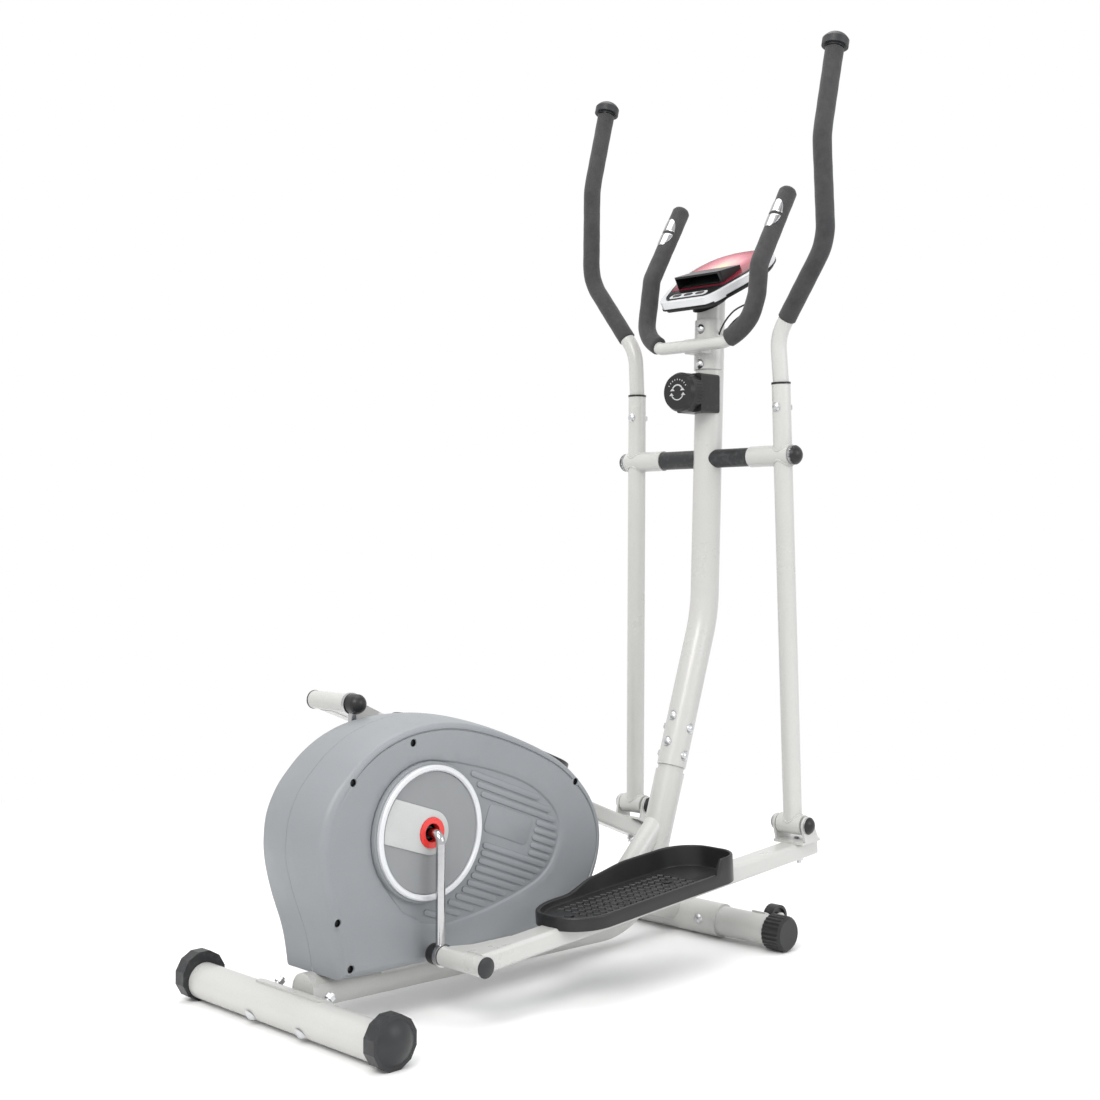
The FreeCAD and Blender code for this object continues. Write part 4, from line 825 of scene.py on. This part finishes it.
res = delaunay_2d_cdt(vco, ed, [], 1, 1e-5)
b0 = len(pv)
for k, p in enumerate(res[0]):
    o = res[3][k]
    pv.append((p.x, p.y, PW + (zz[o[0]] if o else 5.0)))
pf += [tuple(k + b0 for k in f) for f in res[2]]
tv, tf = [], []
for i in range(18):
    uc = PU0 + 62 + i * 13.2
    run_pts = []
    for k in range(12):
        v = -38 + k * 7.6
        run_pts.append(Vector((uc + (2.6 if k % 2 else -2.6), v)))
    for a, b in zip(run_pts, run_pts[1:]):
        if any((a.lerp(b, 0.5) - Vector((u, 0))).length < 14 for u in SCR):
            continue
        q = len(tv)
        for p in (a, b):
            for du, z in ((-2.3, 4.9), (-1.3, 6.7), (1.3, 6.7), (2.3, 4.9)):
                tv.append((p.x + du, p.y, PW + z))
        for j in range(3):
            tf.append((q + j, q + j + 1, q + j + 5, q + j + 4))
        tf.append((q, q + 1, q + 2, q + 3))
        tf.append((q + 4, q + 5, q + 6, q + 7))
for side in ("right", "left"):
    make("pedal_body_" + side, [ped(side, *v) for v in pv], pf, M["black"], side + "_pedal", 36, ("pedal_" + side,))
    make("pedal_tread_" + side, [ped(side, *v) for v in tv], tf, M["black"], side + "_pedal", 40)


# ------------------------------------------------------------------ console
CT = math.radians(31.5)
COUT = [(0, 46), (8, 57), (40, 72), (80, 86), (120, 93), (152, 91), (182, 80), (203, 62), (214, 38), (218, 14)]


def con(s_, y, n):
    return (841 + s_ * math.cos(CT) - n * math.sin(CT), y, 1071 + s_ * math.sin(CT) + n * math.cos(CT))


def con_inv(p):
    dx, dz = (p.x - XS) * 1000 - 841, p.z * 1000 - 1071
    return dx * math.cos(CT) + dz * math.sin(CT), p.y * 1000, -dx * math.sin(CT) + dz * math.cos(CT)


def con_loop(k1, k2):
    pts = [(110 + (a - 110) * k1, w_ * k2) for a, w_ in COUT]
    return catmull(pts + [(a, -w_) for a, w_ in reversed(pts)], 6)


def sheet(outer, holes, n0, n1):
    """Flat sheet with holes and short walls, as (s, n, y) triples."""
    vs_, fs_ = [], []
    vco_, ed_ = [], []
    for lp in [outer] + holes:
        b_ = len(vco_)
        vco_ += lp
        ed_ += [(b_ + k, b_ + (k + 1) % len(lp)) for k in range(len(lp))]
    r_ = delaunay_2d_cdt(vco_, ed_, [], 1, 1e-5)
    vs_ = [(p[0], n1, p[1]) for p in r_[0]]
    for f in r_[2]:
        c_ = sum((Vector(r_[0][k]) for k in f), Vector((0, 0))) / len(f)
        if inside(c_, outer) and not any(inside(c_, h) for h in holes):
            fs_.append(tuple(f))
    for lp in [outer] + holes:
        b_ = len(vs_)
        m_ = len(lp)
        vs_ += [(p.x, n0, p.y) for p in lp] + [(p.x, n1, p.y) for p in lp]
        fs_ += [(b_ + k, b_ + (k + 1) % m_, b_ + m_ + (k + 1) % m_, b_ + m_ + k) for k in range(m_)]
    return vs_, fs_


def con_make(name, vs_, fs_, mat, smooth=32):
    return make(name, [con(v[0], v[2], v[1]) for v in vs_], fs_, mat, "frame", smooth)


E1, E2 = Vector((1, 0)), Vector((0, 1))
btn_holes = [rrect(Vector((21, y)), E1, E2, 5, 9.3, 4.6)(0) for y in (-26, 0, 26)]
scr_hole = rrect(Vector((87, 0)), E1, E2, 25.2, 45.2, 2)(0)
hood_hole = rrect(Vector((89, 0)), E1, E2, 33.2, 52.2, 7)(0)
pan = con_loop(0.90, 0.866)
con_make("console_face", *sheet(pan, btn_holes + [scr_hole], 26.4, 26.8), M["gloss"])
red_loop = [p for p in con_loop(0.868, 0.83) if p.x > 47]
con_make("console_overlay", *sheet(red_loop, [hood_hole], 26.7, 27.1), M["overlay"])
con_make("console_strip", *sheet(rrect(Vector((21, 0)), E1, E2, 8.6, 41, 7)(0), btn_holes, 26.7, 27.6), M["bezel"])
# printed frame round the display and a thin line round the face
inner_pan = con_loop(0.885, 0.850)
o = NODES["console_case"]
o.data.materials.append(M["black"])
big_in = con_loop(0.93, 0.90)
for p in o.data.polygons:
    s_, y_, n_ = con_inv(p.center)
    if n_ < 10.2 or (n_ > 22.3 and inside(Vector((s_, y_)), big_in)):
        p.material_index = 1
NODES["console_panel"].data.materials[0] = M["gloss"]
# screen glass: a slightly green display with dark digits left out
NODES["console_screen"].data.materials[0] = M["glass"]

# ------------------------------------------------------------------ knob marks
kv, kf = [], []


def kplate(poly, x0, x1):
    b_ = len(kv)
    m_ = len(poly)
    kv.extend([(x0, p[0], p[1]) for p in poly] + [(x1, p[0] * 0.995, 932 + (p[1] - 932) * 0.995) for p in poly])
    kf.extend((b_ + k, b_ + (k + 1) % m_, b_ + m_ + (k + 1) % m_, b_ + m_ + k) for k in range(m_))
    kf.append(tuple(range(b_ + m_, b_ + 2 * m_)))


def ringarc(r0, r1, a0, a1, n=14):
    for k in range(n):
        t0, t1 = math.radians(lerp(a0, a1, k / n)), math.radians(lerp(a0, a1, (k + 1) / n))
        kplate([(r * math.cos(t), 932 + r * math.sin(t)) for r, t in ((r0, t0), (r1, t0), (r1, t1), (r0, t1))], 815.3, 814.6)


ringarc(11.0, 13.4, 28, 152)
ringarc(13.2, 15.0, 205, 335)
for sg in (-1, 1):
    kplate([(sg * 6.5, 932 + 2.0), (sg * 16.5, 932 + 2.0), (sg * 11.2, 932 + 7.4)], 815.3, 814.6)
    kplate([(sg * 8.5, 932 - 6.4), (sg * 18.2, 932 - 6.4), (sg * 13.2, 932 - 1.4)], 815.3, 814.6)
for k in range(9):
    t = math.radians(150 - k * 15)
    kplate([(r * math.cos(t + w_), 932 + r * math.sin(t + w_)) for r, w_ in ((20.5, -0.035), (23.0, -0.035), (23.0, 0.035), (20.5, 0.035))], 815.3, 814.6)
make("knob_marks", kv, kf, M["inlay"], "tension_knob", 40)

# ------------------------------------------------------------------ materials by place
o = NODES["pivot_axle"]
o.data.materials.append(M["black"])
for p in o.data.polygons:
    if abs(p.center.y) > 0.1889:
        p.material_index = 1
for side in ("right", "left"):
    o = NODES["pedal_arm_fittings_" + side]
    o.data.materials.append(M["char"])
    o.data.materials.append(M["paint"])
    o.data.materials.append(M["black"])
    a, (hx, hz) = ROTS[side], HUBS[side]
    for p in o.data.polygons:
        dx, dz = (p.center.x - XS) * 1000 - hx, p.center.z * 1000 - hz
        u = dx * math.cos(a) - dz * math.sin(a)
        p.material_index = 1 if u < -700 else 2 if u > 30 else 3 if u < -100 else 0
# washers behind the black ball caps stay bright
for n, lim in (("pivot_axle", None), ("lower_pivot_right", 1), ("lower_pivot_left", -1)):
    o = NODES[n]
    if n != "pivot_axle":
        o.data.materials.append(M["zinc"])
        for p in o.data.polygons:
            if abs(abs(p.center.y) - 0.167) < 0.0338:
                p.material_index = 1
    else:
        for p in o.data.polygons:
            if 0.1889 < abs(p.center.y) < 0.1912:
                p.material_index = 0


def islands(me):
    """Polygon groups joined by shared vertices."""
    par = list(range(len(me.vertices)))

    def find(a):
        while par[a] != a:
            par[a] = par[par[a]]
            a = par[a]
        return a
    for p in me.polygons:
        r_ = find(p.vertices[0])
        for v in p.vertices[1:]:
            par[find(v)] = r_
    out = {}
    for p in me.polygons:
        out.setdefault(find(p.vertices[0]), []).append(p)
    return list(out.values())


# black collar between the lower and upper arm tubes, black bore in the red collar
for side in ("right", "left"):
    o = NODES["arm_fittings_" + side]
    o.data.materials.append(M["black"])
    for g in islands(o.data):
        vs_ = [o.data.vertices[i].co for p in g for i in p.vertices]
        ext = [max(v[k] for v in vs_) - min(v[k] for v in vs_) for k in range(3)]
        if ext[0] > 0.024 and ext[1] > 0.024 and ext[2] < 0.03 and min(v[2] for v in vs_) > 0.85:
            for p in g:
                p.material_index = 1
o = NODES["crank_collars"]
o.data.materials.append(M["black"])
for p in o.data.polygons:
    rr_ = math.hypot((p.center.x - XS) * 1000 - CX, p.center.z * 1000 - CZ)
    if rr_ < 12.5:
        p.material_index = 1
o = NODES["crankset"]
o.data.materials.append(M["black"])
for p in o.data.polygons:
    rr_ = math.hypot((p.center.x - XS) * 1000 - CX, p.center.z * 1000 - CZ)
    if rr_ < 9.0 and abs(p.center.y) < 0.0795 and not 6.2 < rr_ < 7.2:
        p.material_index = 1
# the beam's rear end, closed where it meets the rear tube
bv_, bf_ = [], []
BEAM_RAD, BEAM_ZR, REAR_R, REAR_Z = 25.0, 49.0, 26.0, 28.0
BRX = BEAM_RAD - 0.4
for i in range(9):
    for k in range(32):
        r_ = BRX * i / 8
        y_, z_ = r_ * math.cos(2 * math.pi * k / 32), BEAM_ZR + r_ * math.sin(2 * math.pi * k / 32)
        h_ = (REAR_R + 3.0) ** 2 - (z_ - REAR_Z) ** 2
        bv_.append((max(24.6, math.sqrt(max(h_, 0.0)) + 0.8), y_, z_))
for i in range(8):
    for k in range(32):
        bf_.append((i * 32 + k, i * 32 + (k + 1) % 32, (i + 1) * 32 + (k + 1) % 32, (i + 1) * 32 + k))
make("beam_end_plug", bv_, bf_, M["paint"], "frame", 50)

# ------------------------------------------------------------------ pulse plates: two half ovals on each bar grip
bend = (bar_path[-2] - bar_path[-6]).normalized()
bside = Vector((0, 1, 0))
for side, sgn in (("right", -1), ("left", 1)):
    pv_, pf_ = [], []
    cen = bar_path[-1] - bend * 63
    face = Vector((-bend.z, 0, bend.x)).normalized()
    if face.x > 0:
        face = -face
    for half in (1, -1):
        rows, NR, NC = [], 12, 14
        for i in range(NR + 1):
            f = i / NR
            s0 = half * lerp(3.0, 30.5, f)
            wdt = 1.02 * math.sqrt(max(0.0, 1 - (s0 / 31.0) ** 2))
            rows.append([(s0, lerp(-wdt, wdt, k / NC)) for k in range(NC + 1)])
        lay = []
        for R_ in (16.2, 17.0, 17.35):
            g = []
            for r_i, row in enumerate(rows):
                for c_i, (s0, an) in enumerate(row):
                    k_ = 1.0 if R_ < 17.1 else 0.94
                    s1 = half * (3.6 + (abs(s0) - 3.0) * 0.955) if R_ > 17.1 else s0
                    d = face * math.cos(an * k_) + bside * math.sin(an * k_)
                    g.append(cen + bend * s1 + d * R_)
            lay.append(g)
        W_ = NC + 1
        b_ = len(pv_)
        for g in lay:
            pv_ += g
        sz = len(lay[0])
        for r_i in range(NR):
            for c_i in range(NC):
                q = b_ + 2 * sz + r_i * W_ + c_i
                pf_.append((q, q + 1, q + 1 + W_, q + W_))
        edge = [c_i for c_i in range(W_)] + [r_i * W_ + NC for r_i in range(1, NR + 1)] + [NR * W_ + c_i for c_i in range(NC - 1, -1, -1)] + [r_i * W_ for r_i in range(NR - 1, 0, -1)]
        for l in range(2):
            for a, c in zip(edge, edge[1:] + edge[:1]):
                pf_.append((b_ + l * sz + a, b_ + l * sz + c, b_ + (l + 1) * sz + c, b_ + (l + 1) * sz + a))
    make("pulse_ovals_" + side, [(v.x, sgn * v.y, v.z) for v in pv_], pf_, M["chrome"], "frame", 40, ("pulse_plates",) if side == "right" else ())

# ------------------------------------------------------------------ pulse wires
WIRES = [("pulse_wire_1", 0.1034, [(0.40535, -0.0245, 1.036), (0.39935, -0.033, 1.045), (0.39235, -0.052, 1.062), (0.38635, -0.080, 1.078), (0.38235, -0.1096, 1.082)]),
         ("pulse_wire_2", 0.0984, [(0.40735, -0.0245, 1.027), (0.40135, -0.036, 1.033), (0.39235, -0.056, 1.046), (0.38435, -0.082, 1.060), (0.37735, -0.1084, 1.066)])]
for n_, length_, route in WIRES:
    cu = bpy.data.curves.new(n_, "CURVE")
    cu.dimensions = "3D"
    cu.bevel_depth = 0.0015
    cu.bevel_resolution = 4
    cu.use_fill_caps = True
    sp = cu.splines.new("NURBS")
    sp.points.add(len(route) - 1)
    for q, p in zip(sp.points, route):
        q.co = (*p, 1)
    sp.order_u = 3
    sp.use_endpoint_u = True
    cu.resolution_u = 24
    cu.materials.append(M["rubber"])
    o = bpy.data.objects.new(n_, cu)
    SC.collection.objects.link(o)
    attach(o, "frame")
    if n_ == "pulse_wire_1":
        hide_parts("pulse_wires")

# ------------------------------------------------------------------ black edge band under the console rim
cl = con_loop(1.004, 1.006)
ci = offset_loop(cl, 3.0)
if not inside(ci[0], cl):
    ci = offset_loop(cl, -3.0)
con_make("console_band", *sheet(cl, [ci], 9.4, 12.6), M["black"])
bnd_v, bnd_f = sheet(cl, [ci], 12.6, 9.4)
con_make("console_band_low", bnd_v, bnd_f, M["black"])

# ------------------------------------------------------------------ weld beads
def bead(name, pts, r, body):
    """Rippled weld bead along a line of layout points."""
    pts = [Vector(p) for p in pts]
    vs_, fs_ = tube_mesh(pts, lambda i, n, a: r * (1 + 0.16 * math.sin(i * 1.9)), 10)
    make(name, vs_, fs_, M["paint"], body, 60)


for side, sgn in (("right", -1), ("left", 1)):
    # swing tube where it meets its two cross barrels
    t_ = TILT[side]
    for end, off, R_, sides_ in (("pivot_low", 0.0, 18.0, -1), ("pivot_high", 0.0, 18.0, 1), ("hub", -630.0, 17.0, 1)):
        line = []
        for k in range(61):
            a = 2 * math.pi * k / 60
            x_, y_ = 16.4 * math.cos(a), 16.4 * math.sin(a)
            z_ = off + sides_ * (math.sqrt(R_ * R_ - x_ * x_) + 0.3)
            line.append((895.7 + x_ * math.cos(t_) + z_ * math.sin(t_), sgn * (167 + y_), 818 - x_ * math.sin(t_) + z_ * math.cos(t_)))
        bead("weld_%s_%s" % (end, side), line, 1.5, side + "_arm")

# ------------------------------------------------------------------ camera
YAW, PITCH, ROLL = math.radians(44.757), math.radians(0.6805), 0.0021
fw = Vector((math.cos(YAW) * math.cos(PITCH), math.sin(YAW) * math.cos(PITCH), math.sin(PITCH)))
rt = fw.cross(Vector((0, 0, 1))).normalized()
up = rt.cross(fw)
cr, sr = math.cos(ROLL), math.sin(ROLL)
right = cr * rt + sr * up
upv = -sr * rt + cr * up
cam = bpy.data.cameras.new("camera")
co = bpy.data.objects.new("camera", cam)
SC.collection.objects.link(co)
R = Matrix((right, upv, -fw)).transposed().to_4x4()
R.translation = Vector((-1.26348 + XS, -1.77275, 0.6647))
co.matrix_world = R
cam.sensor_width = 36
cam.lens = 51.21
cam.shift_x = -0.0088
cam.shift_y = -0.02148
cam.clip_start = 0.05
SC.camera = co

# ------------------------------------------------------------------ floor and light
fm, nt, b = new_mat("studio_floor")
tc = nt.nodes.new("ShaderNodeTexCoord")
ns = add(nt, "ShaderNodeTexNoise", i_Scale=1.3, i_Detail=3.0)
nt.links.new(tc.outputs["Object"], ns.inputs["Vector"])
nt.links.new(ramp(nt, ns.outputs["Fac"], [(0.3, grey(0.89)), (0.7, grey(0.92))]), b.inputs["Base Color"])
ln = nt.nodes.new("ShaderNodeVectorMath")
ln.operation = "LENGTH"
nt.links.new(tc.outputs["Object"], ln.inputs[0])
fade = add(nt, "ShaderNodeMapRange")
fade.inputs["From Min"].default_value = 1.0
fade.inputs["From Max"].default_value = 2.1
nt.links.new(ln.outputs["Value"], fade.inputs["Value"])
em = nt.nodes.new("ShaderNodeEmission")
em.inputs["Color"].default_value = (1, 1, 1, 1)
em.inputs["Strength"].default_value = 1.0
ms = nt.nodes.new("ShaderNodeMixShader")
nt.links.new(fade.outputs["Result"], ms.inputs[0])
nt.links.new(b.outputs[0], ms.inputs[1])
nt.links.new(em.outputs[0], ms.inputs[2])
nt.links.new(ms.outputs[0], nt.nodes["Material Output"].inputs["Surface"])
b.inputs["Roughness"].default_value = 0.62
b.inputs["Specular IOR Level"].default_value = 0.25
bm = bmesh.new()
bmesh.ops.create_grid(bm, x_segments=2, y_segments=2, size=30)
me = bpy.data.meshes.new("floor")
bm.to_mesh(me)
bm.free()
fl = bpy.data.objects.new("floor", me)
SC.collection.objects.link(fl)
fl.location.z = -0.0005
me.materials.append(fm)

w = bpy.data.worlds.new("studio")
SC.world = w
w.use_nodes = True
bg = w.node_tree.nodes["Background"]
bg.inputs["Color"].default_value = (1.0, 1.0, 1.0, 1)
bg.inputs["Strength"].default_value = 1.0


def area(name, loc, target, size, power, col=(1, 1, 1)):
    l = bpy.data.lights.new(name, "AREA")
    l.shape = "RECTANGLE"
    l.size, l.size_y = size
    l.energy = power
    l.color = col
    o = bpy.data.objects.new(name, l)
    SC.collection.objects.link(o)
    o.location = loc
    d = (Vector(target) - Vector(loc)).normalized()
    o.rotation_euler = d.to_track_quat("-Z", "Y").to_euler()
    return o


area("key", (-2.6, -1.2, 2.9), (0, 0, 0.6), (1.8, 1.8), 75, (1, 0.99, 0.97))
area("fill", (0.9, -3.4, 1.9), (0, 0, 0.6), (2.2, 1.6), 34, (0.96, 0.98, 1))
area("top", (0.2, 0.4, 3.4), (0, 0, 0.4), (2.4, 2.4), 40)
SC.view_settings.view_transform = "Standard"
SC.view_settings.look = "None"
SC.view_settings.exposure = 0.0
SC.view_settings.gamma = 1.0
